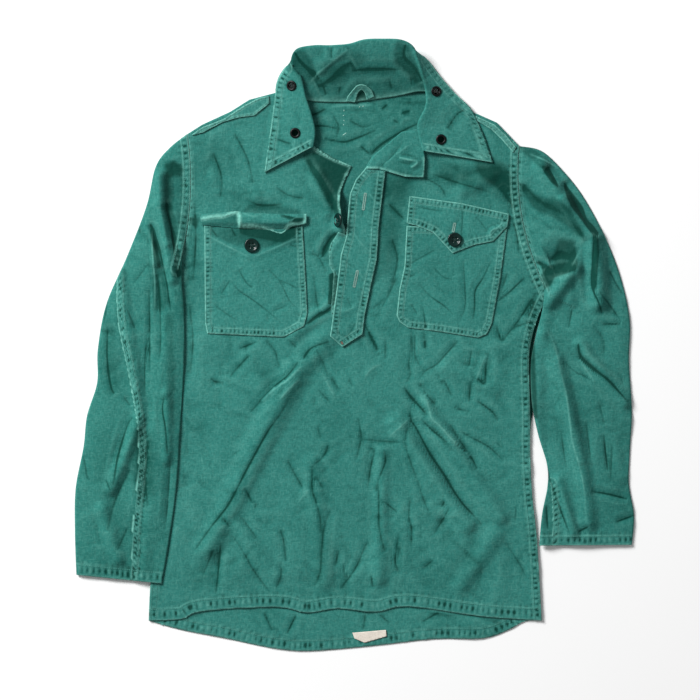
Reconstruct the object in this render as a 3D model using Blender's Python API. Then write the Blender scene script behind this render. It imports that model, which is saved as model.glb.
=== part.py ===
"""A green cotton field shirt with a half-length front opening, laid flat on its back.

Units: sizes and places are written in millimetres and turned into metres when a mesh is made.
+X is right and +Y is up the garment towards the collar, seen from above; +Z is up, off the surface.
The origin is on the surface, at the middle of the garment's length and width.
"Left" and "right" are as seen from above, so the wearer's left is the right here.

The cloth is a stack of walls. The back lies on the surface, the front lies on the back, and what is
sewn on the front is made from the front's own points, moved out by whole layers. All of these are
read on one lattice, so their surfaces stay parallel over the folds. The sleeves are flattened tubes
and the collar is a folded band; both run through rings given in short tables.
"""

import math
from collections import namedtuple

import bmesh
import bpy
from mathutils import Matrix, Vector
from mathutils.bvhtree import BVHTree

# ---------------------------------------------------------------- driving sizes, in mm
MM = 0.001
CLOTH = 1.3              # wall of a single cloth
SEAM = 0.3               # gap between two pieces that are sewn or lie together
LAYER = CLOTH + SEAM     # from one layer to the next
CELL = 18.0              # spacing of the lattice that the panels are read on
COLLAR_WALL = 2.0        # collar: two cloths sewn together
TALLEST = 90.0           # higher than any piece; height of the outline cutters
SEAM_SIDE = 0.25         # half the sideways gap at the armhole seam

BODY_MIDDLE_X = -8.0     # middle line of the body panels
BODY_PUFF = 3.0          # how far the laid body rises between its sides
PUFF_HALF_WIDTH = 225.0
PUFF_TOP = (150.0, 235.0)       # the rise fades out between these heights, below the collar
PUFF_BOTTOM = (-300.0, -360.0)  # and again above the hem

FLAP_ROLL_Y = 175.0      # the turned-up flap is rolled along this level line
FLAP_ROLL_HALF_WIDTH = 13.0
FLAP_ROLL_HEIGHT = 6.5
LABEL_WALL = 1.0
LOOP_FOOT_Y = 348.0      # the hanger loop lies flat below this line
LOOP_TOP_Y = 366.0       # and stands off the collar by LOOP_ARCH here
LOOP_ARCH = 2.5
LOOP_REACH = 1.5         # it is clear of the collar this far round each of its points

BUTTON_DIAMETER = 20.0
BUTTON_THICKNESS = 3.6
BUTTON_RIM = 2.2         # width of the raised rim
BUTTON_DISH = 1.2        # how far the middle lies below the rim
BUTTON_HOLE = 1.9        # diameter of each thread hole
BUTTON_HOLE_OFFSET = 1.7  # from the middle, along X and along Y
EYELET_FLANGE = 14.6     # outer diameter
EYELET_BORE = 8.2
EYELET_BARREL = 9.6
EYELET_CLEARANCE = 0.35  # round the barrel, in the cut hole
EYELET_LIP = 1.1         # height of the flange
EYELET_DEPTH = 2.6       # length of the barrel

# ---------------------------------------------------------------- outlines, x and y in mm
SHOULDER_TIP_LEFT = (-234, 296)
UNDERARM_LEFT = (-246, 108)
SHOULDER_TIP_RIGHT = (231, 279)
UNDERARM_RIGHT = (272, 71)
ARMHOLE_BOW_LEFT = 10.0
ARMHOLE_BOW_RIGHT = 16.0
ARMHOLE_STEPS = 12

HEM_END_LEFT = (-288, -385)
HEM_END_RIGHT = (262, -385)
SIDE_LEFT = [(-286, -340), (-281, -293), (-272, -188), (-263, -76), (-255, 22)]
SIDE_RIGHT = [(258, -310), (254, -255), (249, -212), (246, -152), (246, -96), (244.5, -40),
              (245, -8), (251, 22), (260, 48)]
FRONT_HEM = [(-242, -383), (-214, -372), (-111, -366), (-66, -374), (-23, -368), (30, -373),
             (75, -365), (177, -379)]
BACK_HEM = [(-242, -398), (-184, -409), (-118, -423), (-64, -427.6), (20, -421), (110, -411),
            (180, -410), (216, -398), (238, -386)]
SHOULDER_LEFT = [(-213, 309), (-174, 327), (-147, 344), (-109, 354)]
SHOULDER_RIGHT = [(141, 344), (165, 327), (199, 312)]
BACK_NECK = [(-76, 346), (-13, 342), (40, 350), (104, 357)]
FRONT_NECK_LEFT = [(-76, 346), (-70, 318), (-60, 282), (-31, 263), (-4, 251)]
OPENING_LEFT = [(-10, 238), (-19, 215), (-20, 200), (-16, 172), (-12, 160), (-16, 130),
                (-22, 95), (-27, 55), (-27, 40)]
OPENING_RIGHT = [(-23, 40), (-21, 57), (-16, 95), (-10, 130), (-5, 160), (-3, 200), (6, 231)]
FRONT_NECK_RIGHT = [(14, 247), (25, 265), (66, 299), (88, 303), (98, 313), (108, 335), (109, 355)]

POCKET_LEFT = [(-210, 163), (-209, 32), (-206, 17), (-99, 12), (-71, 27), (-66, 45), (-69, 103),
               (-73, 161)]
POCKET_RIGHT = [(73, 167), (70, 111), (63, 79), (59, 42), (63, 33), (75, 25), (117, 20), (173, 11),
                (185, 16), (192, 31), (204, 95), (213, 163)]
FLAP_LEFT = [(-216, 179), (-213, 184), (-165, 188), (-115, 184), (-67, 184), (-67, 170), (-88, 166),
             (-103, 156), (-122, 162), (-158, 166), (-213, 168)]
FLAP_RIGHT = [(77, 209), (149, 199), (216, 184), (214, 167), (194, 146), (168, 141), (137, 129),
              (110, 158), (89, 167), (73, 171)]
PLACKET = [(18, 251), (2, 232), (-6, 213), (-8, 190), (-11, 154), (-19, 127), (-22, 101), (-28, 56),
           (-34, 13), (-17, -2), (11, 16), (14, 42), (23, 85), (31, 121), (34, 170), (44, 252)]
BUTTON_STRIP = [(-23, 158), (-33, 143), (-36, 132), (-35, 111), (-29, 101), (-32, 58), (-32, 45),
                (-13, 45), (-13, 78), (-10, 106), (-7, 134), (-7, 153)]
NECK_FACING = [(17, 247), (36, 246), (71, 236), (97, 235), (98, 261), (90, 272), (84, 300),
               (66, 298), (27, 265)]
STRAP_LEFT = [(-229, 294), (-213, 305), (-183, 317), (-154, 336), (-132, 347), (-120, 349),
              (-119, 339), (-140, 322), (-163, 319), (-186, 312), (-212, 298)]
STRAP_RIGHT = [(168, 322), (196, 309), (212, 294), (226, 277), (222, 270), (206, 288), (192, 302),
               (172, 314)]
SIZE_LABEL = [(-3, -402), (44, -398), (45, -407), (14, -416), (0, -410)]
HANGER_LOOP = [(-13, 344), (-8, 353), (-2, 361), (8, 367), (19, 366), (27, 358), (31, 348),
               (23, 347), (20, 352), (14, 357), (7, 357), (0, 352), (-5, 344)]

# ---------------------------------------------------------------- folds, in mm
Fold = namedtuple("Fold", "start_x start_y end_x end_y half_width height")
BODY_FOLDS = [
    # start_x start_y end_x end_y half_width height
    Fold(-42, 8, -84, -40, 24, 5.0),         # long soft ridge from the placket's end
    Fold(-84, -40, -139, -146, 27, 7.5),
    Fold(-139, -146, -205, -285, 26, 6.5),   # and down towards the left of the hem
    Fold(-86, 14, -36, 56, 15, 3.5),         # from the left pocket's tucked corner
    Fold(-52, 238, -36, 188, 17, 5.0),       # shadowed fold left of the opening
    Fold(-18, 205, -19, 165, 15, 9.0),       # the button side's free edge stands up
    Fold(58, -108, 158, -250, 19, 5.5),      # ridges on each side of the long trough
    Fold(100, -84, 204, -240, 18, 5.0),
    Fold(38, -150, 34, -326, 17, 4.0),
    Fold(-60, -165, -42, -330, 20, 3.5),
    Fold(-176, -240, -108, -322, 16, 3.5),
    Fold(128, -30, 196, -62, 16, 3.0),
    Fold(-150, -20, -120, -70, 16, 3.0),
    Fold(196, -266, 150, -336, 20, 4.0),
    Fold(-196, 236, -140, 206, 16, 3.0),
    Fold(190, 236, 150, 216, 16, 3.0),
]
SLEEVE_FOLDS = [
    # start_x start_y end_x end_y half_width height
    Fold(-272, 236, -285, 170, 18, 9.0),     # left: the big overlapped fold below the shoulder
    Fold(-285, 170, -258, 50, 18, 9.0),
    Fold(-328, 104, -298, -100, 13, 4.0),    # left: elbow seam
    Fold(-300, -99, -340, -200, 15, 6.0),
    Fold(-263, -69, -262, -160, 12, 4.0),
    Fold(-352, -230, -330, -300, 16, 5.0),
    Fold(262, 250, 291, 204, 18, 9.0),       # right: the big ridge over the shoulder
    Fold(291, 204, 335, 150, 20, 12.0),
    Fold(335, 150, 342, 60, 20, 12.0),
    Fold(308, 108, 272, 62, 16, 7.0),        # right: lower lip of the hollow at the underarm
    Fold(262, 12, 281, -20, 16, 6.0),        # right: ridge along the inner side
    Fold(281, -20, 316, -163, 18, 7.0),
    Fold(316, -163, 328, -247, 18, 6.0),
    Fold(315, -1, 378, -78, 15, 6.0),
    Fold(284, -190, 304, -262, 14, 5.0),
]

# ---------------------------------------------------------------- sleeve rings, in mm
# Each ring lies across the sleeve from its outer edge to its inner edge. bow pushes the middle of
# the ring towards the body, and rise is how far the upper wall stands over a flat sleeve.
SleeveRing = namedtuple("SleeveRing", "outer_x outer_y inner_x inner_y bow rise")
LEFT_SLEEVE = [
    # outer_x outer_y inner_x inner_y bow rise
    SleeveRing(*SHOULDER_TIP_LEFT, *UNDERARM_LEFT, ARMHOLE_BOW_LEFT, 0),
    SleeveRing(-259, 276, -243, 97, 9, 3),
    SleeveRing(-278, 250, -240, 76, 5, 5),
    SleeveRing(-291, 195, -238, 48, 0, 6),
    SleeveRing(-318, 125, -237, 10, 0, 6),
    SleeveRing(-347, 58, -238, -30, 0, 6),
    SleeveRing(-359, -5, -240, -68, 0, 6),
    SleeveRing(-360, -52, -242, -100, 0, 6),
    SleeveRing(-374, -98, -244, -130, 0, 6),
    SleeveRing(-379, -142, -246, -168, 0, 6),
    SleeveRing(-390, -200, -250, -212, 0, 5),
    SleeveRing(-391, -262, -258, -268, 0, 4),
    SleeveRing(-389, -321, -269, -333, 0, 2),
]
RIGHT_SLEEVE = [
    # outer_x outer_y inner_x inner_y bow rise
    SleeveRing(*SHOULDER_TIP_RIGHT, *UNDERARM_RIGHT, ARMHOLE_BOW_RIGHT, 0),
    SleeveRing(262, 272, 270, 60, 11, 3),
    SleeveRing(292, 244, 264, 48, 6, 5),
    SleeveRing(320, 208, 257, 28, 2, 6),
    SleeveRing(350, 153, 252, 8, 0, 6),
    SleeveRing(372, 96, 249, -18, 0, 6),
    SleeveRing(385, 36, 248, -48, 0, 6),
    SleeveRing(384, -22, 251, -86, 0, 6),
    SleeveRing(388, -93, 258, -126, 0, 6),
    SleeveRing(385, -150, 269, -166, 0, 5),
    SleeveRing(384, -195, 270, -196, 0, 5),
    SleeveRing(391, -238, 262, -237, 0, 4),
    SleeveRing(388, -279, 258, -280, 0, 2),
]
RINGS_PER_ROW = 2        # rings made for each row of the tables
STEPS_ACROSS = 12        # points across a ring's upper or lower wall
EDGE_INSET = 2.2         # a sleeve's folded edge is rounded over this width
LIFT_NEAR = -8.0         # a sleeve is fully lifted on to the body from this far outside its side
LIFT_FAR = -26.0         # and lies on the surface from here outwards
UNDERARM_REACH = 20.0    # beyond the underarm it is lifted this far round it

# ---------------------------------------------------------------- collar sections, in mm
# Each section runs from the neck seam over the roll to the collar's outer edge.
CollarSection = namedtuple("CollarSection", "seam_x seam_y seam_z roll_x roll_y roll_z edge_x edge_y edge_z")
COLLAR = [
    # seam_x seam_y seam_z roll_x roll_y roll_z edge_x edge_y edge_z
    CollarSection(-63, 275, 4.4, -60, 277, 8.5, -126, 242, 3.3),
    CollarSection(-60, 298, 4.4, -57, 299, 10, -121, 278, 3.3),
    CollarSection(-66, 322, 4.4, -62, 323, 12, -115, 319, 3.3),
    CollarSection(-73, 340, 4.4, -70, 349, 15, -111, 349, 3.3),
    CollarSection(-75, 344, 4.4, -76, 376, 19, -107, 370, 3.3),
    CollarSection(-74, 345, 4.4, -86, 393, 22, -96, 388, 1.6),
    CollarSection(-68, 344, 4.4, -80, 410, 25, -84, 391, 1.4),
    CollarSection(-55, 342, 1.8, -57, 415, 27, -59, 393, 1.4),
    CollarSection(-32, 341, 1.8, -33, 415, 28, -34, 393, 1.4),
    CollarSection(-8, 341, 1.8, -8, 417, 28, -8, 394, 1.4),
    CollarSection(14, 343, 1.8, 14, 423, 28, 14, 400, 1.4),
    CollarSection(36, 346, 1.8, 38, 424, 28, 38, 401, 1.4),
    CollarSection(62, 350, 1.8, 64, 423, 27, 66, 401, 1.4),
    CollarSection(84, 355, 4.4, 80, 415, 25, 90, 405, 1.4),
    CollarSection(98, 356, 4.4, 88, 398, 22, 102, 398, 2.4),
    CollarSection(103, 354, 4.4, 95, 377, 19, 119, 376, 3.3),
    CollarSection(105, 349, 4.4, 101, 354, 15, 141, 352, 3.3),
    CollarSection(104, 332, 4.4, 101, 334, 13, 163, 330, 3.3),
    CollarSection(95, 310, 4.4, 91, 311, 11, 175, 306, 3.3),
    CollarSection(96, 293, 4.4, 92, 294, 10, 183, 287, 3.3),
    CollarSection(102, 272, 4.4, 98, 272, 8.5, 193, 256, 3.3),
]
COLLAR_SPANS = 2         # sections made for each row of the table
PROFILE_SPANS = 3        # points made for each stretch of a section
SEAT_SPOTS = 12          # places round a button or an eyelet where its seat is felt for

# x and y of each eyelet in mm; all four go through the collar's leaves
EYELETS = {
    "eyelet_left_upper": (-88, 363),
    "eyelet_left_lower": (-83, 297),
    "eyelet_right_upper": (114, 355),
    "eyelet_right_lower": (121, 288),
}

# ---------------------------------------------------------------- colours (linear) and finishes
Finish = namedtuple("Finish", "colour roughness metallic")
FINISHES = {
    "green_cotton": Finish((0.037, 0.198, 0.168), 0.92, 0.0),
    "dark_button": Finish((0.006, 0.018, 0.015), 0.28, 0.0),
    "black_metal": Finish((0.03, 0.035, 0.035), 0.35, 0.9),
    "cream_tape": Finish((0.78, 0.72, 0.64), 0.9, 0.0),
}


# ---------------------------------------------------------------- small sums
def smoothstep(low, high, value):
    """0 below low, 1 above high and an even S between; high may be the smaller."""
    t = max(0.0, min(1.0, (value - low) / (high - low)))
    return t * t * (3.0 - 2.0 * t)


def mixed(a, b, t):
    return a + (b - a) * t


def spline_point(rows, place):
    """The point at place, in rows from the first, on a Catmull-Rom curve through the rows."""
    last = len(rows) - 1
    at = min(int(place), last - 1)
    t = place - at
    before, start, end, after = (rows[max(0, min(last, at + step))] for step in (-1, 0, 1, 2))
    return [
        0.5 * (2 * s + (e - b) * t + (2 * b - 5 * s + 4 * e - a) * t**2 + (3 * s - b - 3 * e + a) * t**3)
        for b, s, e, a in zip(before, start, end, after)
    ]


def smooth_line(points, spans):
    """A curve through the points, with this many steps between one point and the next."""
    steps = (len(points) - 1) * spans
    return [tuple(spline_point(points, step / spans)) for step in range(steps + 1)]


def distance_to_line(x, y, line):
    """(distance, turn) from an open line of straight stretches; turn is + to the line's right."""
    best = (math.inf, 0.0)
    for (ax, ay), (bx, by) in zip(line, line[1:]):
        dx, dy = bx - ax, by - ay
        t = max(0.0, min(1.0, ((x - ax) * dx + (y - ay) * dy) / (dx * dx + dy * dy)))
        away = math.hypot(x - ax - t * dx, y - ay - t * dy)
        best = min(best, (away, dy * (x - ax) - dx * (y - ay)))
    return best


def fold_height(x, y, folds):
    """Height that the folds add at (x, y): each is a soft ridge that dies away at its ends."""
    total = 0.0
    for fold in folds:
        dx, dy = fold.end_x - fold.start_x, fold.end_y - fold.start_y
        along = ((x - fold.start_x) * dx + (y - fold.start_y) * dy) / (dx * dx + dy * dy)
        t = max(0.0, min(1.0, along))
        away = math.hypot(x - fold.start_x - t * dx, y - fold.start_y - t * dy) / fold.half_width
        if away < 1.0:
            total = max(total, fold.height * math.cos(away * math.pi / 2) ** 2)
    return total


# ---------------------------------------------------------------- the laid body's form
def body_height(x, y):
    """How far the front stands over a flat one at (x, y)."""
    across = min(1.0, abs(x - BODY_MIDDLE_X) / PUFF_HALF_WIDTH)
    fade = (1.0 - smoothstep(*PUFF_TOP, y)) * (1.0 - smoothstep(*PUFF_BOTTOM, y))
    return BODY_PUFF * (1.0 - across**4) * fade + fold_height(x, y, BODY_FOLDS)


def drape(x, y):
    """body_height read on the lattice, flat over each half cell, so that finer pieces follow it."""
    column, row = math.floor(x / CELL), math.floor(y / CELL)
    u, v = x / CELL - column, y / CELL - row
    near = body_height(column * CELL, row * CELL)
    far = body_height((column + 1) * CELL, (row + 1) * CELL)
    if u > v:
        side = body_height((column + 1) * CELL, row * CELL)
        return near + (side - near) * u + (far - side) * v
    side = body_height(column * CELL, (row + 1) * CELL)
    return near + (side - near) * v + (far - side) * u


def armhole(tip, underarm, bow, shift):
    """The armhole seam from the shoulder tip to the underarm, moved sideways by shift."""
    line = []
    for step in range(ARMHOLE_STEPS + 1):
        t = step / ARMHOLE_STEPS
        x, y = ring_point(*tip, *underarm, bow, t)
        line.append((x + shift, y))
    return line


def ring_point(outer_x, outer_y, inner_x, inner_y, bow, t):
    """A point of a sleeve ring: straight across, and bowed sideways towards the body."""
    toward_body = bow * 4.0 * t * (1.0 - t)
    return mixed(outer_x, inner_x, t) + toward_body, mixed(outer_y, inner_y, t)


ARMHOLE_LEFT = armhole(SHOULDER_TIP_LEFT, UNDERARM_LEFT, ARMHOLE_BOW_LEFT, SEAM_SIDE)
ARMHOLE_RIGHT = armhole(SHOULDER_TIP_RIGHT, UNDERARM_RIGHT, -ARMHOLE_BOW_RIGHT, -SEAM_SIDE)
SIDE_LINE_LEFT = smooth_line([HEM_END_LEFT, *SIDE_LEFT, ARMHOLE_LEFT[-1]], 2)
SIDE_LINE_RIGHT = smooth_line([HEM_END_RIGHT, *SIDE_RIGHT, ARMHOLE_RIGHT[-1]], 2)


def body_outline(hem, neck):
    """A body panel's outline: up the right side, over the shoulders and neck, and down the left."""
    hem_line = smooth_line([HEM_END_LEFT, *hem, HEM_END_RIGHT], 2)
    return [
        *hem_line[:-1],
        *SIDE_LINE_RIGHT[:-1],
        *reversed(ARMHOLE_RIGHT),
        *reversed(SHOULDER_RIGHT),
        *reversed(neck),
        *reversed(SHOULDER_LEFT),
        *ARMHOLE_LEFT,
        *reversed(SIDE_LINE_LEFT[1:-1]),
    ]


# ---------------------------------------------------------------- making meshes
def clear_scene():
    for thing in list(bpy.data.objects):
        bpy.data.objects.remove(thing)


def finish_material(name):
    """The Principled material of this name, made once."""
    material = bpy.data.materials.get(name)
    if material is None:
        finish = FINISHES[name]
        material = bpy.data.materials.new(name)
        material.use_nodes = True
        shader = material.node_tree.nodes["Principled BSDF"]
        shader.inputs["Base Color"].default_value = (*finish.colour, 1.0)
        shader.inputs["Roughness"].default_value = finish.roughness
        shader.inputs["Metallic"].default_value = finish.metallic
    return material


def object_from(mesh_in_work, name, finish=None, closed=True):
    """Turns a bmesh into an object of the scene; without a finish it is a cutter."""
    if closed:
        bmesh.ops.recalc_face_normals(mesh_in_work, faces=mesh_in_work.faces[:])
    mesh = bpy.data.meshes.new(name)
    mesh_in_work.to_mesh(mesh)
    mesh_in_work.free()
    made = bpy.data.objects.new(name, mesh)
    bpy.context.scene.collection.objects.link(made)
    if finish is None:
        made.hide_render = True
        made.display_type = "WIRE"
    else:
        mesh.materials.append(finish_material(finish))
    return made


def cut_with(target, cutter, operation):
    step = target.modifiers.new(cutter.name, "BOOLEAN")
    step.operation = operation
    step.solver = "EXACT"
    step.object = cutter


def walled_grid(columns, rows, upper, lower):
    """A wall of columns by rows cells, with the points upper(column, row) and lower(column, row)."""
    work = bmesh.new()
    column_of = work.verts.layers.int.new("column")
    row_of = work.verts.layers.int.new("row")
    unit = Matrix.Diagonal((columns, rows, 1.0, 1.0)) @ Matrix.Translation((0.5, 0.5, 0.0))
    bmesh.ops.create_grid(work, x_segments=columns, y_segments=rows, size=0.5, matrix=unit)
    for vert in work.verts:
        vert[column_of], vert[row_of] = round(vert.co.x), round(vert.co.y)
        vert.co = Vector(upper(vert[column_of], vert[row_of])) * MM
    bmesh.ops.remove_doubles(work, verts=work.verts[:], dist=1e-7)
    bmesh.ops.triangulate(work, faces=work.faces[:], quad_method="FIXED")
    grown = bmesh.ops.extrude_face_region(work, geom=work.faces[:])["geom"]
    for vert in (item for item in grown if isinstance(item, bmesh.types.BMVert)):
        vert.co = Vector(lower(vert[column_of], vert[row_of])) * MM
    return work


def prism(name, outline, low, high):
    """A closed prism on the outline, from height low to high."""
    work = bmesh.new()
    base = work.faces.new([work.verts.new(Vector((x, y, low)) * MM) for x, y in outline])
    grown = bmesh.ops.extrude_face_region(work, geom=[base])["geom"]
    sides = [item for item in grown if isinstance(item, bmesh.types.BMVert)]
    bmesh.ops.translate(work, verts=sides, vec=Vector((0.0, 0.0, high - low)) * MM)
    return object_from(work, name)


def cloth_piece(name, outline, bottom, finish="green_cotton", wall=CLOTH, refine=1):
    """A wall over the outline whose underside is bottom(x, y), read on the lattice."""
    cell = CELL / refine
    xs, ys = [x for x, _ in outline], [y for _, y in outline]
    first = (math.floor(min(xs) / cell) - 1, math.floor(min(ys) / cell) - 1)
    count = (math.ceil(max(xs) / cell) + 1 - first[0], math.ceil(max(ys) / cell) + 1 - first[1])

    def at(column, row, up):
        x, y = (first[0] + column) * cell, (first[1] + row) * cell
        return x, y, bottom(x, y) + up

    work = walled_grid(*count, lambda i, j: at(i, j, wall), lambda i, j: at(i, j, 0.0))
    piece = object_from(work, name, finish)
    cut_with(piece, prism(name + "_outline", outline, -TALLEST, TALLEST), "INTERSECT")
    return piece


def layer(number, extra=None):
    """The underside of a piece this many layers above the front's own underside."""
    if extra is None:
        return lambda x, y: LAYER * (number + 1) + drape(x, y)
    return lambda x, y: LAYER * (number + 1) + drape(x, y) + extra(x, y)


# ---------------------------------------------------------------- body, facing and bands
def make_back():
    """The back is flat on the surface, so its wall is the outline's own prism."""
    outline = body_outline(BACK_HEM, BACK_NECK)
    panel = prism("back", outline, 0.0, CLOTH)
    panel.hide_render = False
    panel.display_type = "TEXTURED"
    panel.data.materials.append(finish_material("green_cotton"))
    return panel


def make_front():
    neck = [*FRONT_NECK_LEFT, *OPENING_LEFT, *OPENING_RIGHT, *FRONT_NECK_RIGHT]
    return cloth_piece("front", body_outline(FRONT_HEM, neck), layer(0))


def turned_up_roll(x, y):
    """How far the turned-up flap's roll stands over its edges, which is the same for every x."""
    return FLAP_ROLL_HEIGHT * max(0.0, 1.0 - ((y - FLAP_ROLL_Y) / FLAP_ROLL_HALF_WIDTH) ** 2)


def make_front_pieces():
    cloth_piece("button_strip", BUTTON_STRIP, layer(1))
    cloth_piece("placket", PLACKET, layer(2))
    cloth_piece("neck_facing", NECK_FACING, layer(3))
    cloth_piece("pocket_left", POCKET_LEFT, layer(1))
    cloth_piece("pocket_right", POCKET_RIGHT, layer(1))
    cloth_piece("flap_left", FLAP_LEFT, layer(2, turned_up_roll), refine=4)
    cloth_piece("flap_right", FLAP_RIGHT, layer(2), refine=2)
    cloth_piece("strap_left", STRAP_LEFT, layer(1))
    cloth_piece("strap_right", STRAP_RIGHT, layer(1))
    cloth_piece("size_label", SIZE_LABEL, lambda x, y: LAYER, "cream_tape", wall=LABEL_WALL)


# ---------------------------------------------------------------- sleeves
def lift_on_side(x, y, side_line, toward_body):
    """How far a sleeve's underside is lifted at (x, y) to lie on the body's side.

    The side line runs up to the underarm. Beyond it, only what is near the underarm is lifted.
    """
    underarm_x, underarm_y = side_line[-1]
    away, turn = distance_to_line(x, y, side_line)
    past_end = math.hypot(x - underarm_x, y - underarm_y)
    if past_end <= away + 1e-6:
        over = UNDERARM_REACH - away
    else:
        over = math.copysign(away, turn * toward_body)
    return 2 * LAYER * smoothstep(LIFT_FAR, LIFT_NEAR, over)


def sleeve_ring_places():
    """(place across, is upper) round a ring: over the top from the outer edge and back below."""
    inner = [step / STEPS_ACROSS for step in range(1, STEPS_ACROSS)]
    top = [(0.0, None), *((t, True) for t in inner), (1.0, None)]
    return top + [(t, False) for t in reversed(inner)]


def make_sleeve(name, rows, toward_body, side_line):
    """A flattened tube through the rows' rings, open at the armhole and at the cuff."""
    places = sleeve_ring_places()
    rings = (len(rows) - 1) * RINGS_PER_ROW

    def wall_point(ring, step, inside):
        outer_x, outer_y, inner_x, inner_y, bow, rise = spline_point(rows, ring / RINGS_PER_ROW)
        t, upper = places[step % len(places)]
        width = math.hypot(inner_x - outer_x, inner_y - outer_y)
        inset = CLOTH * 1.25 / width if inside else 0.0
        t = mixed(inset, 1.0 - inset, t)
        x, y = ring_point(outer_x, outer_y, inner_x, inner_y, bow * toward_body, t)
        under = lift_on_side(x, y, side_line, toward_body)
        puff = rise * (1.0 - abs(2.0 * t - 1.0) ** 3)
        over = under + LAYER + CLOTH + puff + fold_height(x, y, SLEEVE_FOLDS) * min(1.0, rise / 3.0)
        if upper is None:
            z = mixed(under, over, 0.5)
        elif upper:
            z = over - (CLOTH if inside else 0.0)
        else:
            z = under + (CLOTH if inside else 0.0)
        return x - SEAM_SIDE * toward_body, y, z

    work = walled_grid(rings, len(places), lambda i, j: wall_point(i, j, False),
                       lambda i, j: wall_point(i, j, True))
    return object_from(work, name, "green_cotton")


# ---------------------------------------------------------------- collar, eyelets and loop
def collar_profile(section):
    """Points of one section: from the seam up the stand, round the roll, and down to the edge."""
    seam = Vector((section.seam_x, section.seam_y, section.seam_z))
    roll = Vector((section.roll_x, section.roll_y, section.roll_z))
    edge = Vector((section.edge_x, section.edge_y, section.edge_z))
    stand = Vector((*seam.lerp(roll, 0.55).xy, mixed(seam.z, roll.z, 0.6)))
    fall = Vector((*roll.lerp(edge, 0.22).xy, mixed(roll.z, edge.z, 0.22)))
    return smooth_line([seam, stand, roll, fall, edge], PROFILE_SPANS)


def make_collar():
    spans = (len(COLLAR) - 1) * COLLAR_SPANS
    sections = [CollarSection(*spline_point(COLLAR, step / COLLAR_SPANS)) for step in range(spans + 1)]
    profiles = [collar_profile(section) for section in sections]
    work = bmesh.new()
    unit = Matrix.Diagonal((spans, len(profiles[0]) - 1, 1.0, 1.0)) @ Matrix.Translation((0.5, 0.5, 0.0))
    bmesh.ops.create_grid(work, x_segments=spans, y_segments=len(profiles[0]) - 1, size=0.5, matrix=unit)
    for vert in work.verts:
        vert.co = Vector(profiles[round(vert.co.x)][round(vert.co.y)]) * MM
    bmesh.ops.triangulate(work, faces=work.faces[:], quad_method="FIXED")
    collar = object_from(work, "collar", "green_cotton", closed=False)
    wall = collar.modifiers.new("wall", "SOLIDIFY")
    wall.thickness = COLLAR_WALL * MM
    wall.offset = 1.0
    return collar


def surfaces_of(*things):
    """A search tree of the things' evaluated surfaces, in mm."""
    graph = bpy.context.evaluated_depsgraph_get()
    graph.update()
    points, faces = [], []
    for thing in things:
        mesh = thing.evaluated_get(graph).data
        start = len(points)
        points.extend(vert.co / MM for vert in mesh.vertices)
        faces.extend([start + index for index in face.vertices] for face in mesh.polygons)
    return BVHTree.FromPolygons(points, faces)


def top_at(surfaces, x, y):
    """(height, normal) of the highest surface at (x, y), or of the ground where there is none."""
    place, normal, _, _ = surfaces.ray_cast(Vector((x, y, TALLEST)), Vector((0.0, 0.0, -1.0)))
    return (0.0, Vector((0.0, 0.0, 1.0))) if place is None else (place.z, normal)


def seat(surfaces, x, y, radius, gap):
    """A frame on the surface at (x, y): Z along its mean normal, clear of it by gap over the radius."""
    angles = [step * math.tau / SEAT_SPOTS for step in range(SEAT_SPOTS)]
    arms = [Vector((math.cos(angle), math.sin(angle), 0.0)) * radius for angle in angles]
    normal = sum((top_at(surfaces, x + arm.x, y + arm.y)[1] for arm in arms), Vector()).normalized()
    centre = Vector((x, y, top_at(surfaces, x, y)[0]))
    turn = Vector((0.0, 0.0, 1.0)).rotation_difference(normal).to_matrix().to_4x4()
    highest = 0.0
    for arm in arms:
        for share in (0.25, 0.5, 0.75, 1.0):
            start = centre + turn @ (arm * share) + normal * TALLEST
            place, _, _, _ = surfaces.ray_cast(start, -normal)
            if place is not None:
                highest = max(highest, (place - centre).dot(normal))
    return Matrix.Translation((centre + normal * (highest + gap)) * MM) @ turn


def turned(name, profile, steps, finish=None):
    """A ring or disc: the closed profile of (radius, height) points, turned about Z."""
    work = bmesh.new()
    corners = [work.verts.new(Vector((radius, 0.0, height)) * MM) for radius, height in profile]
    edges = [work.edges.new(pair) for pair in zip(corners, corners[1:] + corners[:1])]
    bmesh.ops.spin(work, geom=corners + edges, cent=(0, 0, 0), axis=(0, 0, 1), angle=math.tau,
                   steps=steps, use_merge=True)
    bmesh.ops.remove_doubles(work, verts=work.verts[:], dist=1e-7)
    return object_from(work, name, finish)


def make_eyelets(collar):
    """A flanged ring in a cut hole at each place."""
    surfaces = surfaces_of(collar)
    flange, barrel, bore, lip = EYELET_FLANGE / 2, EYELET_BARREL / 2, EYELET_BORE / 2, EYELET_LIP
    rim = [(bore, -EYELET_DEPTH), (barrel, -EYELET_DEPTH), (barrel, 0.0), (flange, 0.0),
           (flange - 0.2 * lip, 0.5 * lip), (flange - lip, lip), (bore + lip, lip), (bore, 0.5 * lip)]
    cut, reach = barrel + EYELET_CLEARANCE, 2 * EYELET_DEPTH
    hole = [(0.0, -reach), (cut, -reach), (cut, reach), (0.0, reach)]
    for name, (x, y) in EYELETS.items():
        frame = seat(surfaces, x, y, flange, SEAM)
        turned(name, rim, 20, "black_metal").matrix_world = frame
        cutter = turned(name + "_hole", hole, 20)
        cutter.matrix_world = frame
        cut_with(collar, cutter, "DIFFERENCE")


def make_hanger_loop(collar, back):
    """The tape loop lies on the collar's inner face and arches a little off it."""
    surfaces = surfaces_of(collar, back)
    steps = (-LOOP_REACH, 0.0, LOOP_REACH)

    def under(x, y):
        resting = max(top_at(surfaces, x + dx, y + dy)[0] for dx in steps for dy in steps)
        return resting + SEAM + LOOP_ARCH * smoothstep(LOOP_FOOT_Y, LOOP_TOP_Y, y)

    cloth_piece("hanger_loop", HANGER_LOOP, under, refine=5)


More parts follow.
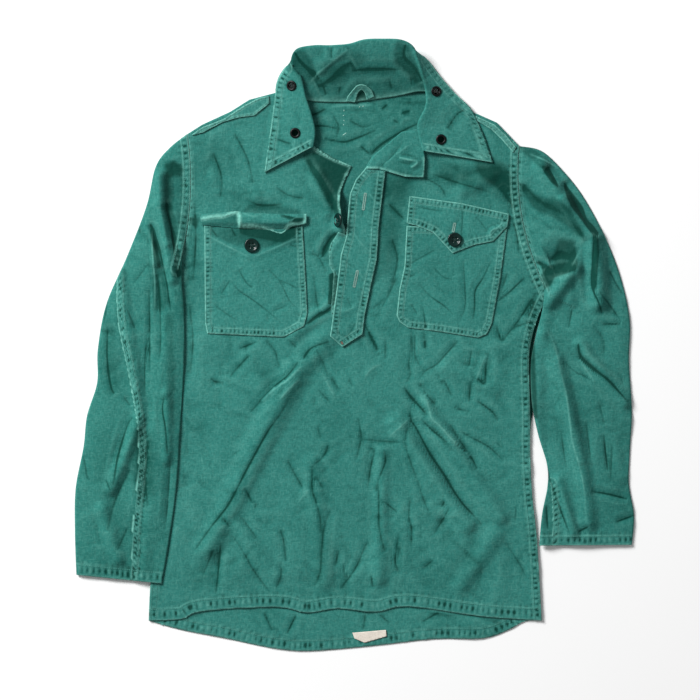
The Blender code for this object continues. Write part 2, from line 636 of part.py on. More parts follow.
# ---------------------------------------------------------------- buttons
def make_button(name, surfaces, x, y):
    """A turned button with a raised rim and four holes, seated on what is below it."""
    radius, high, rim = BUTTON_DIAMETER / 2, BUTTON_THICKNESS, BUTTON_RIM
    profile = [(0.0, 0.0), (radius - rim, 0.0), (radius, 0.4 * high), (radius, 0.7 * high),
               (radius - 0.4 * rim, high), (radius - rim, high),
               (radius - 1.6 * rim, high - 0.9 * BUTTON_DISH), (0.0, high - BUTTON_DISH)]
    button = turned(name, profile, 24, "dark_button")
    hole = BUTTON_HOLE / 2
    profile = [(0.0, -high), (hole, -high), (hole, high), (0.0, high)]
    for number, (side_x, side_y) in enumerate(((1, 1), (-1, 1), (-1, -1), (1, -1))):
        cutter = turned(f"{name}_hole_{number}", profile, 8)
        cutter.location = Vector((side_x, side_y, 0.0)) * BUTTON_HOLE_OFFSET * MM
        cutter.parent = button
        cut_with(button, cutter, "DIFFERENCE")
    button.matrix_world = seat(surfaces, x, y, radius, SEAM)
    return button


def make_buttons(front):
    things = bpy.data.objects
    make_button("button_pocket_left", surfaces_of(things["pocket_left"]), -144, 140)
    make_button("button_flap_right", surfaces_of(things["flap_right"]), 140, 148)
    make_button("button_placket", surfaces_of(front), -27, 177)


def main():
    clear_scene()
    back = make_back()
    front = make_front()
    make_front_pieces()
    make_sleeve("sleeve_left", LEFT_SLEEVE, 1.0, SIDE_LINE_LEFT)
    make_sleeve("sleeve_right", RIGHT_SLEEVE, -1.0, SIDE_LINE_RIGHT)
    collar = make_collar()
    make_eyelets(collar)
    make_hanger_loop(collar, back)
    make_buttons(front)


main()
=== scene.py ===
"""Looks of the green cotton field shirt that lies flat on its back, built round its CAD solids.

Units: places and sizes are written in millimetres, but for the creases that were read as pixels of
the photograph, and are turned into metres when a mesh is made.
+X is right, +Y is up the garment towards the collar and +Z is up, as in the CAD. "Left" and
"right" are as seen from above. Every cloth piece is a thin shell on its solid's own form, with
creases, seams and stitches added to that form.
"""

import math
from collections import namedtuple

import bmesh
import bpy
import numpy as np
from mathutils import Matrix, Vector
from mathutils.bvhtree import BVHTree

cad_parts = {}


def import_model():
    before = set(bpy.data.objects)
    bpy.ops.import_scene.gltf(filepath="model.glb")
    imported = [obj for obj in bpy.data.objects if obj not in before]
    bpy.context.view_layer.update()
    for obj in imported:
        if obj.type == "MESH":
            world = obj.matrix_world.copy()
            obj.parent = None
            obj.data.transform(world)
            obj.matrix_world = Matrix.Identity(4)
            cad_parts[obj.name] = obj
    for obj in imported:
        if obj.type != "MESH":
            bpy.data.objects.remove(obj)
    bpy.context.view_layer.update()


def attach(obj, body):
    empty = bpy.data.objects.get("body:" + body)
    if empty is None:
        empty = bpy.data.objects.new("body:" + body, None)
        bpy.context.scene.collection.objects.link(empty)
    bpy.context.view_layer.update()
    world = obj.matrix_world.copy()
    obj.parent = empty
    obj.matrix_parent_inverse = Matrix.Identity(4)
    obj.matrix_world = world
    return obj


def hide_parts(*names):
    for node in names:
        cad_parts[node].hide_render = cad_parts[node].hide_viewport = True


# ---------------------------------------------------------------- driving sizes, in mm
MM = 0.001
CLOTH = 1.3              # wall of a single cloth in the CAD
SHELL = 1.0              # wall of a shell here
LAYER = 1.6              # from one laid cloth to the next
LEAST_TOP = 2.5          # the front's top is never lower, so it stays clear of the back
SEAM_SIDE = 0.25         # half the sideways gap at the armhole seam
TALLEST = 90.0           # above everything, where a search for the surface starts
PIXEL = 1.4              # mm of the shirt in a pixel of the photograph
MIDDLE_PIXEL = (354.5, 345.5)    # the pixel over the frame's origin

BODY_MIDDLE_X = -8.0     # middle line of the body panels
BODY_PUFF = 3.0          # how far the laid body rises between its sides
PUFF_HALF_WIDTH = 225.0
PUFF_TOP = (150.0, 235.0)
PUFF_BOTTOM = (-300.0, -360.0)

BACK_SHOWS_BY = 4.0      # how far the back's edge is widened beside the front's, under the right sleeve, to carry painted shade in the gap
FLAP_ROLL_Y = 175.0      # the turned-up flap is rolled along this level line
FLAP_ROLL_HALF_WIDTH = 13.0
FLAP_ROLL_HEIGHT = 6.5
LABEL_WALL = 1.0
COVER_FADE = 9.0         # the body's creases die away over this width before a sleeve or the collar
SEAM_FADE = 7.0          # and before the armholes
LOOP_FOOT_Y = 348.0
LOOP_TOP_Y = 366.0
LOOP_ARCH = 2.5

BUTTON_DIAMETER = 20.0
BUTTON_THICKNESS = 3.6
BUTTON_RIM = 2.2
BUTTON_DISH = 1.2
BUTTON_HOLE = 1.9
BUTTON_HOLE_OFFSET = 1.7
BUTTON_THREAD = (4.6, 0.9, 0.5)
EYELET_FLANGE = 14.6
EYELET_BORE = 8.2
EYELET_BARREL = 9.6
EYELET_CLEARANCE = 0.35
EYELET_LIP = 1.1
EYELET_DEPTH = 2.6

# ---------------------------------------------------------------- outlines, x and y in mm
SHOULDER_TIP_LEFT = (-234, 296)
UNDERARM_LEFT = (-246, 108)
SHOULDER_TIP_RIGHT = (231, 279)
UNDERARM_RIGHT = (272, 71)
ARMHOLE_BOW_LEFT = 10.0
ARMHOLE_BOW_RIGHT = 16.0

HEM_END_LEFT = (-288, -385)
HEM_END_RIGHT = (262, -385)
SIDE_LEFT = [(-286, -340), (-281, -293), (-272, -188), (-263, -76), (-255, 22)]
SIDE_RIGHT = [(258, -310), (254, -255), (249, -212), (246, -152), (246, -96), (244.5, -40),
              (245, -8), (251, 22), (260, 48)]
FRONT_HEM = [(-242, -383), (-214, -372), (-111, -366), (-66, -374), (-23, -368), (30, -373),
             (75, -365), (177, -379)]
BACK_HEM = [(-242, -398), (-184, -409), (-118, -423), (-64, -427.6), (20, -421), (110, -411),
            (180, -410), (216, -398), (238, -386)]
SHOULDER_LEFT = [(-213, 309), (-174, 327), (-147, 344), (-109, 354)]
SHOULDER_RIGHT = [(141, 344), (165, 327), (199, 312)]
BACK_NECK = [(-76, 346), (-13, 342), (40, 350), (104, 357)]
FRONT_NECK_LEFT = [(-76, 346), (-70, 318), (-60, 282), (-31, 263), (-4, 251)]
OPENING_LEFT = [(-10, 238), (-19, 215), (-20, 200), (-16, 172), (-12, 160), (-16, 130),
                (-22, 95), (-27, 55), (-27, 40)]
OPENING_RIGHT = [(-23, 40), (-21, 57), (-16, 95), (-10, 130), (-5, 160), (-3, 200), (6, 231)]
FRONT_NECK_RIGHT = [(14, 247), (25, 265), (66, 299), (88, 303), (98, 313), (108, 335), (109, 355)]

POCKET_LEFT = [(-210, 171), (-209, 32), (-206, 17), (-99, 12), (-71, 27), (-66, 45), (-69, 103),
               (-73, 168)]
POCKET_RIGHT = [(73, 167), (70, 111), (63, 79), (59, 42), (63, 33), (75, 25), (117, 20), (173, 11),
                (185, 16), (192, 31), (204, 95), (213, 163)]
FLAP_LEFT = [(-216, 179), (-213, 184), (-165, 188), (-115, 184), (-67, 184), (-67, 170), (-88, 166),
             (-103, 153), (-122, 160), (-159, 163), (-213, 168)]
FLAP_RIGHT = [(77, 209), (149, 199), (216, 184), (214, 167), (194, 146), (168, 141), (137, 129),
              (110, 158), (89, 167), (73, 171)]
PLACKET = [(18, 251), (2, 232), (-6, 213), (-8, 190), (-11, 154), (-19, 127), (-22, 101), (-28, 56),
           (-34, 13), (-17, -2), (11, 16), (14, 42), (23, 85), (31, 121), (34, 170), (44, 252)]
BUTTON_STRIP = [(-23, 158), (-33, 143), (-36, 132), (-35, 111), (-29, 101), (-32, 58), (-32, 45),
                (-13, 45), (-13, 78), (-10, 106), (-7, 134), (-7, 153)]
NECK_FACING = [(17, 247), (36, 246), (71, 236), (97, 235), (98.5, 261), (97, 272), (91, 300),
               (66, 298), (27, 265)]
STRAP_LEFT = [(-229, 294), (-213, 305), (-183, 317), (-154, 336), (-132, 347), (-120, 349),
              (-119, 339), (-140, 322), (-163, 319), (-186, 312), (-212, 298)]
STRAP_RIGHT = [(168, 322), (196, 309), (212, 294), (226, 277), (222, 270), (206, 288), (192, 302),
               (172, 314)]
SIZE_LABEL = [(-3, -402), (44, -398), (45, -407), (14, -416), (0, -410)]
HANGER_LOOP = [(-12, 342), (-9.5, 348), (-3, 356), (3, 362.5), (9, 364.5), (16, 363), (24, 356.5),
               (27.5, 348), (17, 343.5), (15, 352), (11.5, 357), (8, 357), (4.5, 352.5), (0.5, 340)]

# ---------------------------------------------------------------- broad folds, in mm
# start_x start_y end_x end_y half_width height, as in the CAD but for the overlapped fold at the
# left sleeve's top, whose first three rows lie closer to its real place
BODY_FOLDS = [
    (-42, 8, -84, -40, 24, 5.0), (-84, -40, -139, -146, 27, 7.5), (-139, -146, -205, -285, 26, 6.5),
    (-86, 14, -36, 56, 15, 3.5), (-52, 238, -36, 188, 17, 5.0), (-18, 205, -19, 165, 15, 9.0),
    (58, -108, 158, -250, 19, 5.5), (100, -84, 204, -240, 18, 5.0), (38, -150, 34, -326, 17, 4.0),
    (-60, -165, -42, -330, 20, 3.5), (-176, -240, -108, -322, 16, 3.5), (128, -30, 196, -62, 16, 3.0),
    (-150, -20, -120, -70, 16, 3.0), (196, -266, 150, -336, 20, 4.0), (-196, 236, -140, 206, 16, 3.0),
    (190, 236, 150, 216, 16, 3.0),
]
SLEEVE_FOLDS = [
    (-273, 236, -272, 196, 15, 9.0), (-272, 196, -262, 142, 14, 8.0), (-262, 142, -254, 92, 12, 4.5),
    (-328, 104, -298, -100, 13, 4.0), (-300, -99, -340, -200, 15, 6.0), (-263, -69, -262, -160, 12, 4.0),
    (-352, -230, -330, -300, 16, 5.0), (262, 250, 291, 204, 18, 9.0), (291, 204, 335, 150, 20, 12.0),
    (335, 150, 342, 60, 20, 12.0), (308, 108, 272, 62, 16, 7.0), (262, 12, 281, -20, 16, 6.0),
    (281, -20, 316, -163, 18, 7.0), (316, -163, 328, -247, 18, 6.0), (315, -1, 378, -78, 15, 6.0),
    (284, -190, 304, -262, 14, 5.0),
]

# ---------------------------------------------------------------- sleeve rings and collar sections
# outer_x outer_y inner_x inner_y bow rise: a ring lies across the sleeve, and rise is its puff
LEFT_SLEEVE = [
    (*SHOULDER_TIP_LEFT, *UNDERARM_LEFT, ARMHOLE_BOW_LEFT, 0), (-259, 276, -243, 97, 9, 3),
    (-278, 250, -240, 76, 5, 5), (-291, 195, -238, 48, 0, 6), (-318, 125, -237, 10, 0, 6),
    (-347, 58, -238, -30, 0, 6), (-359, -5, -240, -68, 0, 6), (-360, -52, -242, -100, 0, 6),
    (-374, -98, -244, -130, 0, 6), (-379, -142, -246, -168, 0, 6), (-390, -200, -250, -212, 0, 5),
    (-391, -262, -258, -268, 0, 4), (-389, -321, -269, -333, 0, 2),
]
RIGHT_SLEEVE = [
    (*SHOULDER_TIP_RIGHT, *UNDERARM_RIGHT, ARMHOLE_BOW_RIGHT, 0), (262, 272, 270, 60, 11, 3),
    (292, 244, 264, 48, 6, 5), (320, 208, 257, 28, 2, 6), (350, 153, 252, 8, 0, 6),
    (372, 96, 247, -18, 0, 6), (385, 36, 246, -48, 0, 6), (384, -22, 248.5, -86, 0, 6),
    (388, -93, 257, -126, 0, 6), (385, -150, 269, -166, 0, 5), (384, -195, 270, -196, 0, 5),
    (391, -238, 262, -237, 0, 4), (388, -279, 258, -280, 0, 2),
]
EDGE_INSET = 2.6         # a sleeve's folded edge is rounded over this width
LIFT_NEAR = -8.0         # a sleeve is fully lifted on to the body from this far outside its side
LIFT_FAR = -26.0         # and lies on the surface from here outwards
UNDERARM_REACH = 20.0

# seam_xyz roll_xyz edge_xyz: from the neck seam over the roll to the collar's outer edge
COLLAR = [
    (-63, 275, 4.4, -60, 277, 8.5, -126, 242, 3.3), (-60, 298, 4.4, -57, 299, 10, -121, 278, 3.3),
    (-66, 322, 4.4, -62, 323, 12, -115, 319, 3.3), (-73, 340, 4.4, -70, 349, 15, -111, 349, 3.3),
    (-75, 344, 4.4, -76, 376, 19, -107, 370, 3.3), (-74, 345, 4.4, -86, 393, 22, -96, 388, 1.6),
    (-68, 344, 4.4, -80, 410, 25, -84, 391, 1.4), (-55, 342, 1.8, -57, 415, 27, -59, 393, 1.4),
    (-32, 341, 1.8, -33, 415, 28, -34, 393, 1.4), (-8, 341, 1.8, -8, 417, 28, -8, 394, 1.4),
    (14, 343, 1.8, 14, 423, 28, 14, 400, 1.4), (36, 346, 1.8, 38, 424, 28, 38, 401, 1.4),
    (62, 350, 1.8, 64, 423, 27, 66, 401, 1.4), (84, 355, 4.4, 80, 415, 25, 90, 405, 1.4),
    (98, 356, 4.4, 88, 398, 22, 102, 398, 2.4), (103, 354, 4.4, 95, 377, 19, 119, 376, 3.3),
    (105, 349, 4.4, 101, 354, 15, 141, 352, 3.3), (104, 332, 4.4, 101, 334, 13, 163, 330, 3.3),
    (95, 310, 4.4, 91, 311, 11, 175, 306, 3.3), (96, 293, 4.4, 92, 294, 10, 183, 287, 3.3),
    (102, 272, 4.4, 98, 272, 8.5, 193, 256, 3.3),
]
COLLAR_WALL = 1.8
CREST_ROUNDS = 5         # how far round a point the crest value looks
EYELETS = {
    "eyelet_left_upper": (-88, 363),
    "eyelet_left_lower": (-83, 297),
    "eyelet_right_upper": (114, 355),
    "eyelet_right_lower": (121, 288),
}
COLLAR_SPANS = 14        # sections made for each row of the table
PROFILE_SPANS = 15       # points made for each stretch of a section


# ---------------------------------------------------------------- small sums, on arrays
def smoothstep(low, high, value):
    t = np.clip((value - low) / (high - low), 0.0, 1.0)
    return t * t * (3.0 - 2.0 * t)


def catmull_rom(before, start, end, after, t):
    """The smooth curve from start to end, t from 0 to 1."""
    return 0.5 * (2 * start + (end - before) * t + (2 * before - 5 * start + 4 * end - after) * t**2
                  + (3 * start - before - 3 * end + after) * t**3)


def spline(rows, place):
    """Points of a Catmull-Rom curve through the rows; place counts rows from the first."""
    rows = np.asarray(rows, float)
    last = len(rows) - 1
    at = np.minimum(np.asarray(place).astype(int), last - 1)
    t = (place - at)[..., None]
    return catmull_rom(*(rows[np.clip(at + step, 0, last)] for step in (-1, 0, 1, 2)), t)


def smooth_line(points, spans):
    return spline(points, np.linspace(0, len(points) - 1, (len(points) - 1) * spans + 1))


def nearest_on(x, y, line):
    """(distance, side, along, near_x, near_y) from an open line; side is + to the line's left."""
    best = np.full(x.shape, np.inf)
    side, along, near_x, near_y = (np.zeros(x.shape) for _ in range(4))
    walked = 0.0
    for (ax, ay), (bx, by) in zip(line[:-1], line[1:]):
        dx, dy = bx - ax, by - ay
        length = math.hypot(dx, dy)
        if length < 1e-6:
            continue
        t = np.clip(((x - ax) * dx + (y - ay) * dy) / length**2, 0.0, 1.0)
        px, py = ax + t * dx, ay + t * dy
        away = np.hypot(x - px, y - py)
        closer = away < best
        best[closer] = away[closer]
        side[closer] = np.sign(dx * (y - ay) - dy * (x - ax))[closer]
        along[closer] = (walked + t * length)[closer]
        near_x[closer], near_y[closer] = px[closer], py[closer]
        walked += length
    return best, side, along, near_x, near_y


def inside_of(x, y, outline):
    """Whether each point is inside the closed outline."""
    crossings = np.zeros(x.shape, bool)
    points = np.asarray(outline, float)
    for (ax, ay), (bx, by) in zip(points, np.roll(points, -1, axis=0)):
        if ay == by:
            continue
        crosses = (ay > y) != (by > y)
        crossings ^= crosses & (x < ax + (y - ay) / (by - ay) * (bx - ax))
    return crossings


def distance_outside(x, y, outline):
    """Distance from the closed outline, negative inside it."""
    closed = np.vstack([outline, outline[:1]])
    away = nearest_on(x, y, closed)[0]
    return np.where(inside_of(x, y, outline), -away, away)


def fold_height(x, y, folds):
    """Each broad fold is a soft ridge that dies away at its ends."""
    total = np.zeros(x.shape)
    for start_x, start_y, end_x, end_y, half_width, height in folds:
        dx, dy = end_x - start_x, end_y - start_y
        t = np.clip(((x - start_x) * dx + (y - start_y) * dy) / (dx * dx + dy * dy), 0.0, 1.0)
        away = np.hypot(x - start_x - t * dx, y - start_y - t * dy) / half_width
        total = np.maximum(total, height * np.cos(np.minimum(away, 1.0) * math.pi / 2) ** 2)
    return total


def body_height(x, y):
    """How far the front stands over a flat one."""
    across = np.minimum(1.0, np.abs(x - BODY_MIDDLE_X) / PUFF_HALF_WIDTH)
    fade = (1.0 - smoothstep(*PUFF_TOP, y)) * (1.0 - smoothstep(*PUFF_BOTTOM, y))
    return BODY_PUFF * (1.0 - across**4) * fade + fold_height(x, y, BODY_FOLDS)


def armhole(tip, underarm, bow, shift):
    t = np.linspace(0.0, 1.0, 25)
    x = tip[0] + (underarm[0] - tip[0]) * t + bow * 4.0 * t * (1.0 - t) + shift
    return np.stack([x, tip[1] + (underarm[1] - tip[1]) * t], axis=1)


ARMHOLE_LEFT = armhole(SHOULDER_TIP_LEFT, UNDERARM_LEFT, ARMHOLE_BOW_LEFT, SEAM_SIDE)
ARMHOLE_RIGHT = armhole(SHOULDER_TIP_RIGHT, UNDERARM_RIGHT, -ARMHOLE_BOW_RIGHT, -SEAM_SIDE)
SIDE_LINE_LEFT = smooth_line([HEM_END_LEFT, *SIDE_LEFT, ARMHOLE_LEFT[-1]], 4)
SIDE_LINE_RIGHT = smooth_line([HEM_END_RIGHT, *SIDE_RIGHT, ARMHOLE_RIGHT[-1]], 4)


def body_outline(hem, neck):
    """Up the right side, over the shoulders and neck, and down the left."""
    return np.vstack([
        smooth_line([HEM_END_LEFT, *hem, HEM_END_RIGHT], 4)[:-1],
        SIDE_LINE_RIGHT[:-1], ARMHOLE_RIGHT[::-1], SHOULDER_RIGHT[::-1], neck[::-1],
        SHOULDER_LEFT[::-1], ARMHOLE_LEFT, SIDE_LINE_LEFT[-2:0:-1],
    ])


# ---------------------------------------------------------------- creases, in mm
# Each row is "width height lean: x y, x y, ...". A crease is a soft V along a smooth line through
# its points, this wide to each side; height below 0 makes it a trough, and lean makes one side steeper.
# The points are mm or, in a row that says px, the pixels of the photograph where they were read.
BODY_CREASES = """
4.5 -1.2 0 px: 258 341, 239 349
4.5 -1.1 0 px: 251 354, 233 373, 231 379
4 -1.2 0 px: 211 378, 216 382, 226 383
4 -0.9 0 px: 265 340, 275 351, 278 363, 282 371
4.5 -1.0 0 px: 287 338, 297 348
7 -2.4 0 px: 299 361, 287 376, 277 384, 266 395, 250 413
5 1.6 0 px: 302 366, 288 380, 276 388, 262 401
4 1.3 0 px: 300 379, 290 388, 280 399
9 -2.6 0.3 px: 292 396, 279 416, 268 431, 255 454, 245 473, 229 504, 212 526, 194 551
4 -0.7 0 px: 231 456, 242 449
4.5 -1.1 0 px: 287 460, 294 472, 303 488
5 -1.4 0 px: 312 464, 312 490, 315 499, 320 518, 321 534
4 -0.9 0 px: 315 396, 314 406
4 -0.9 0 px: 317 424, 320 438
7 -2.4 0 px: 330 341, 311 348, 303 360
4.5 -1.0 0 px: 316 349, 324 364, 329 380
4.5 -1.3 0 px: 329 441, 326 452, 320 460, 313 465
4 -0.9 0 px: 316 476, 323 488
4 -0.8 0 px: 318 389, 330 403
4 -0.7 0 px: 331 377, 341 392
4 0.8 0 px: 322 372, 335 398
4.5 -1.1 0 px: 368 331, 373 343, 380 356
4 -0.7 0 px: 385 340, 385 360
6 -1.3 0.3 px: 412 330, 410 350, 409 364, 410 374, 405 384
5 -1.1 0 px: 415 333, 415 356, 424 371
5 -1.6 0 px: 424 331, 425 349
5 -1.3 0 px: 457 341, 446 354, 436 365, 424 372, 420 380
6.5 -2.6 0 px: 404 387, 411 397, 418 405, 428 416
8 -2.4 -0.4 px: 420 383, 424 391, 435 405
5 1.8 0 px: 421 385, 427 403, 432 418, 439 425, 451 438, 461 448, 470 456
5 -1.5 0 px: 443 378, 447 387, 452 396
4 -0.8 0 px: 436 370, 443 386
4.5 -1.4 0 px: 421 418, 432 430, 447 443
7.5 -3.4 0 px: 411 404, 410 418, 416 428, 427 449, 436 463, 445 476, 453 490, 463 504, 475 517, 483 526
5 1.3 0 px: 410 418, 401 426, 389 437
4.5 -1.0 0 px: 409 420, 405 442, 410 461, 416 476, 421 490
4 -0.7 0 px: 359 439, 385 441, 406 443
4.5 -0.8 0 px: 358 417, 360 430, 361 440, 355 463
6 -1.5 0 px: 375 448, 371 466, 367 490
6 -1.5 0 px: 384 450, 385 462, 379 478, 376 491
4 -1.1 0 px: 369 446, 375 451
4 -0.8 0 px: 348 378, 354 388
5 0.9 0 px: 382 364, 371 369, 364 379
5 -1.4 0 px: 450 424, 458 438, 470 455
4 -0.9 0 px: 461 432, 470 437
4 -1.1 0 px: 464 400, 459 407
4 -1.2 0 px: 454 407, 461 410, 470 411
8 -1.8 0 px: 472 350, 469 367
9 -2.2 0.3 px: 489 352, 486 366, 485 385
5 1.5 0 px: 486 354, 481 367, 476 380
4.5 -1.2 0 px: 470 377, 477 378, 485 386
4.5 -1.4 0 px: 471 380, 469 403
4.5 -1.4 0 px: 476 400, 486 407, 493 413, 498 421
8 -2.2 -0.3 px: 455 444, 470 456, 477 470
4.5 -1.3 0 px: 461 431, 470 437, 482 443, 492 449, 504 461
4 -0.8 0 px: 495 442, 503 448
5 -1.3 0 px: 245 488, 253 504
4 -1.1 0 px: 257 502, 254 510
4.5 -1.2 0 px: 223 518, 230 528
5 -0.8 0 px: 241 516, 258 540
5 -1.0 0 px: 233 536, 245 555, 252 567, 262 581, 270 593
4.5 -1.5 0 px: 280 529, 284 541, 286 563
4.5 -1.1 0 px: 281 564, 281 576, 276 588
7 -2.0 0.3 px: 221 543, 219 567, 216 594
9 -1.8 0 px: 214 549, 203 575
5 1.2 0 px: 309 489, 298 502
11 -2.8 0.4 px: 330 510, 326 522, 323 534, 322 552, 320 572, 313 588
4.5 -1.3 0 px: 339 550, 335 566
5 -1.0 0 px: 343 563, 345 579
4.5 -1.2 0 px: 369 539, 364 549, 359 561, 353 572, 340 589
4.5 -1.4 0 px: 371 575, 373 588
6 -1.7 0.3 px: 377 478, 379 498, 379 521, 381 537, 385 553
7 -1.9 0 px: 381 499, 398 513
5.5 -1.9 0 px: 399 534, 397 546, 395 562, 399 573
4 -0.9 0 px: 399 546, 402 556
4.5 -1.3 0 px: 410 496, 409 516, 412 529, 411 547
4.5 -1.0 0 px: 417 480, 423 498, 432 519
4.5 -1.6 0 px: 445 500, 441 508
5 -1.3 0 px: 450 504, 444 518, 431 538
5 -0.8 0 px: 433 560, 421 570
16 -3.0 0 px: 451 516, 454 539, 471 557, 481 567, 477 585, 470 597
5 -0.9 0 px: 505 543, 517 559, 526 576
4 -0.7 0 px: 516 506, 515 522
5 -1.1 0 px: 507 273, 500 294
5 -1.4 0 px: 525 277, 510 291, 498 301
5 -1.5 0 px: 536 293, 521 317, 509 333, 502 343
5 -1.2 0 px: 496 325, 502 343
4 -0.9 0 px: 510 329, 522 325, 536 321
10 -2.2 0 px: 536 300, 528 318
5 -1.6 0.4: -66 260, -44 226, -29 200
4 -3.5 0: -28 60, -37 49, -52 41, -68 29
5 -4.0 0: -24 158, -34 148, -42 131, -45 124
7 -1.6 0: -170 300, -150 262, -142 226
6 -1.3 0: -198 270, -186 236, -188 206
8 -1.7 0: -224 200, -222 150, -226 90
6 -1.1 0: -232 60, -226 10, -230 -40
5 -1.2 0: -57 101, -53 62, -47 40
5 -1.0 0: -64 127, -51 125, -39 101
5 -0.9 0: 22 42, 34 46, 59 95
4.5 -0.9 0: 24 50, 42 66
5 -1.2 0: 14 30, 22 15, 34 -7
6 -1.3 0: 52 150, 60 120, 52 84
5 -1.2 0: 46 200, 62 184, 70 176
7 -2.2 0.3: 204 222, 217 203, 227 185
6 -1.2 0: 108 240, 150 226, 192 214
6 -1.2 0: 214 190, 226 160, 230 128
5 -1.0 0: 96 236, 120 222, 128 206
5 -1.2 0: -110 222, -92 210, -70 206
5 -1.0 0: -150 204, -130 196, -100 198
4 -1.2 0: 98 8, 97 -8
"""
LEFT_SLEEVE_CREASES = """
14 -3.0 0: -254 260, -253 225, -252 187
5 -5.0 0: -263 200, -258 176, -253 152, -249 134
4 -5.0 0: -286 171, -280 158, -272 132, -267 110
4 -2.2 0: -270 122, -263 91, -260 72, -257 50
3 1.6 0: -283 162, -282 124, -279 91, -279 52
6 -2.0 0: -276 100, -272 64, -271 1, -274 -23
4 -1.6 0: -287 80, -286 0, -287 -40
5 -1.5 0 px: 148 328, 145 365, 145 397
7 -3.2 0 px: 108 328, 107 352, 109 372, 112 388, 115 395
5 -1.4 0 px: 124 396, 131 406
6 -2.8 0 px: 134 416, 128 425, 122 445, 117 462, 114 486
11 -3.6 0 px: 131 468, 122 486, 115 501, 110 520, 108 532
5 -1.6 0 px: 106 479, 112 491
5.5 -3.0 0 px: 165 393, 163 410, 166 428, 168 455
5 -2.0 0 px: 171 452, 170 469, 167 511, 165 530
9 -2.6 0 px: 149 440, 146 469, 146 487, 149 507
5 1.2 0 px: 93 385, 89 415
6 -1.2 0 px: 84 455, 88 480
12 -1.8 0 px: 95 515, 100 545
7 -1.5 0 px: 128 527, 118 550
5 -1.0 0 px: 126 305, 136 330
5 -0.9 0 px: 133 285, 150 262
6 -1.2 0 px: 108 300, 104 325
"""
RIGHT_SLEEVE_CREASES = """
5 1.2 0 px: 529 154, 543 160, 560 170
7 -3.5 0 px: 545 168, 551 174, 557 187
11 -8.0 0 px: 564 182, 572 197, 579 210, 587 224, 597 236
9 -6.0 0 px: 594 236, 593 252, 592 270, 592 284, 594 294, 598 303, 602 315
12 -3.0 0 px: 592 324, 598 332, 603 342, 603 358
16 -4.5 0 px: 523 184, 539 201, 553 208, 568 218, 583 239
14 -6.5 0: 271 118, 289 126, 306 118
4 -3.5 0: 244 126, 249 118, 261 114, 267 109
6 -3.5 0: 266 106, 284 106, 309 110
6 1.5 0 px: 542 325, 550 336, 556 352, 560 372, 565 393, 568 413, 572 441, 579 466, 584 492, 585 523
8 -2.0 0 px: 572 309, 568 328
7.5 -5.0 0.3 px: 577 343, 580 356, 592 368, 607 380, 618 391, 628 403
5 1.6 0 px: 579 359, 594 382
5 -1.5 0 px: 563 361, 576 373, 582 375, 594 382
4.5 -1.4 0 px: 620 377, 624 387
5 -2.0 0 px: 609 270, 615 283, 624 296
5 -1.5 0 px: 598 291, 612 308, 621 322
4.5 -1.4 0 px: 602 324, 621 324
5 -2.2 0 px: 590 491, 608 494, 627 499
5 -2.2 0 px: 615 522, 635 515
8 -2.4 0 px: 603 434, 607 471
6 -1.3 0 px: 612 445, 610 480
5 -2.0 0 px: 546 505, 547 530
5 -3.2 0 px: 546 466, 552 486, 561 512, 569 533
6 -2.4 0 px: 577 532, 588 526
5 -1.0 0 px: 598 400, 604 425
6 -1.2 0 px: 585 420, 590 460
5 -1.0 0 px: 560 430, 566 470
"""
BACK_CREASES = """
5 -1.2 0: -81 -376, -95 -404
4.5 -0.9 0: -127 -373, -115 -400
4.5 -0.9 0: 15 -376, 12 -400
4.5 -0.9 0: 34 -376, 50 -389
5 -0.9 0: 124 -370, 94 -387
5 -1.2 0: -62 322, -50 326, -40 332
6 -0.9 0: -60 307, -40 307, -20 302
5 -1.1 0: -43 290, -17 285, 0 289, 31 302
6 -1.8 0: 94 313, 67 300, 31 276, 20 256
5 -1.2 0: 8 280, 24 265
5 -1.6 0: 66 325, 79 329
4.5 -1.3 0: 37 330, 47 338
5 -1.2 0: 54 316, 64 310
5 -1.3 0: 64 346, 80 345
3.5 0.9 0: -36 333, -12 336, 26 336
5 -0.9 0: -8 316, 12 306, 30 312
5 -0.8 0: -30 322, -22 306, -26 290
"""
COLLAR_CREASES = """
9 -4.0 0: -83 409, -75 396, -55 377
10 2.6 0: -53 379, -33 395, -9 413
12 -4.5 0: -53 362, -32 373, -18 387, -3 397
4 -1.6 0: -32 416, -32 400
7 -1.8 0: -5 384, 22 386, 65 386
8 -4.0 0: 71 420, 70 403, 86 386, 95 369
5 -1.0 0: -44 366, -40 350
5 -1.0 0: -20 364, -22 350
5 -0.9 0: 48 374, 52 358
5 -0.9 0: 78 376, 80 362
8 -1.6 0: 129 302, 143 323, 155 330
6 -0.8 0: -110 290, -96 284, -86 282
"""
POCKET_CREASES = """
3.5 0.9 0: -210 156, -178 139, -144 122
3.5 0.9 0: -144 122, -108 138, -74 153
4.5 -1.2 0: -120 106, -104 89, -91 63, -76 49
4 -1.0 0: -107 92, -90 85, -77 77
5 -1.3 0: -173 92, -163 78, -144 65, -119 46, -100 29
4 -0.9 0: -197 58, -180 45, -160 33
4 -0.9 0: -174 92, -187 71
8 -1.4 0: -162 106, -152 89, -142 80
4 -0.9 0: -123 46, -120 31
4 -0.9 0: -116 48, -93 56
4 -1.0 0: -201 165, -191 150
4 -0.8 0: -172 164, -166 152
4 -0.8 0: -91 141, -74 135
5 -1.2 0: -100 12, -82 22, -66 30
5 -1.4 0: 89 87, 106 69, 126 55, 139 42
4 -1.0 0: 74 94, 86 100
4.5 -1.1 0: 71 111, 84 118, 113 134
4 -0.9 0: 79 58, 89 42
4 -1.3 0: 95 55, 98 36, 98 8
5 -1.7 0: 192 121, 180 95, 169 77, 168 55, 166 36
4.5 -0.9 0: 152 121, 154 87, 155 57, 147 32
8 -1.0 0: 110 110, 124 96, 140 92
"""
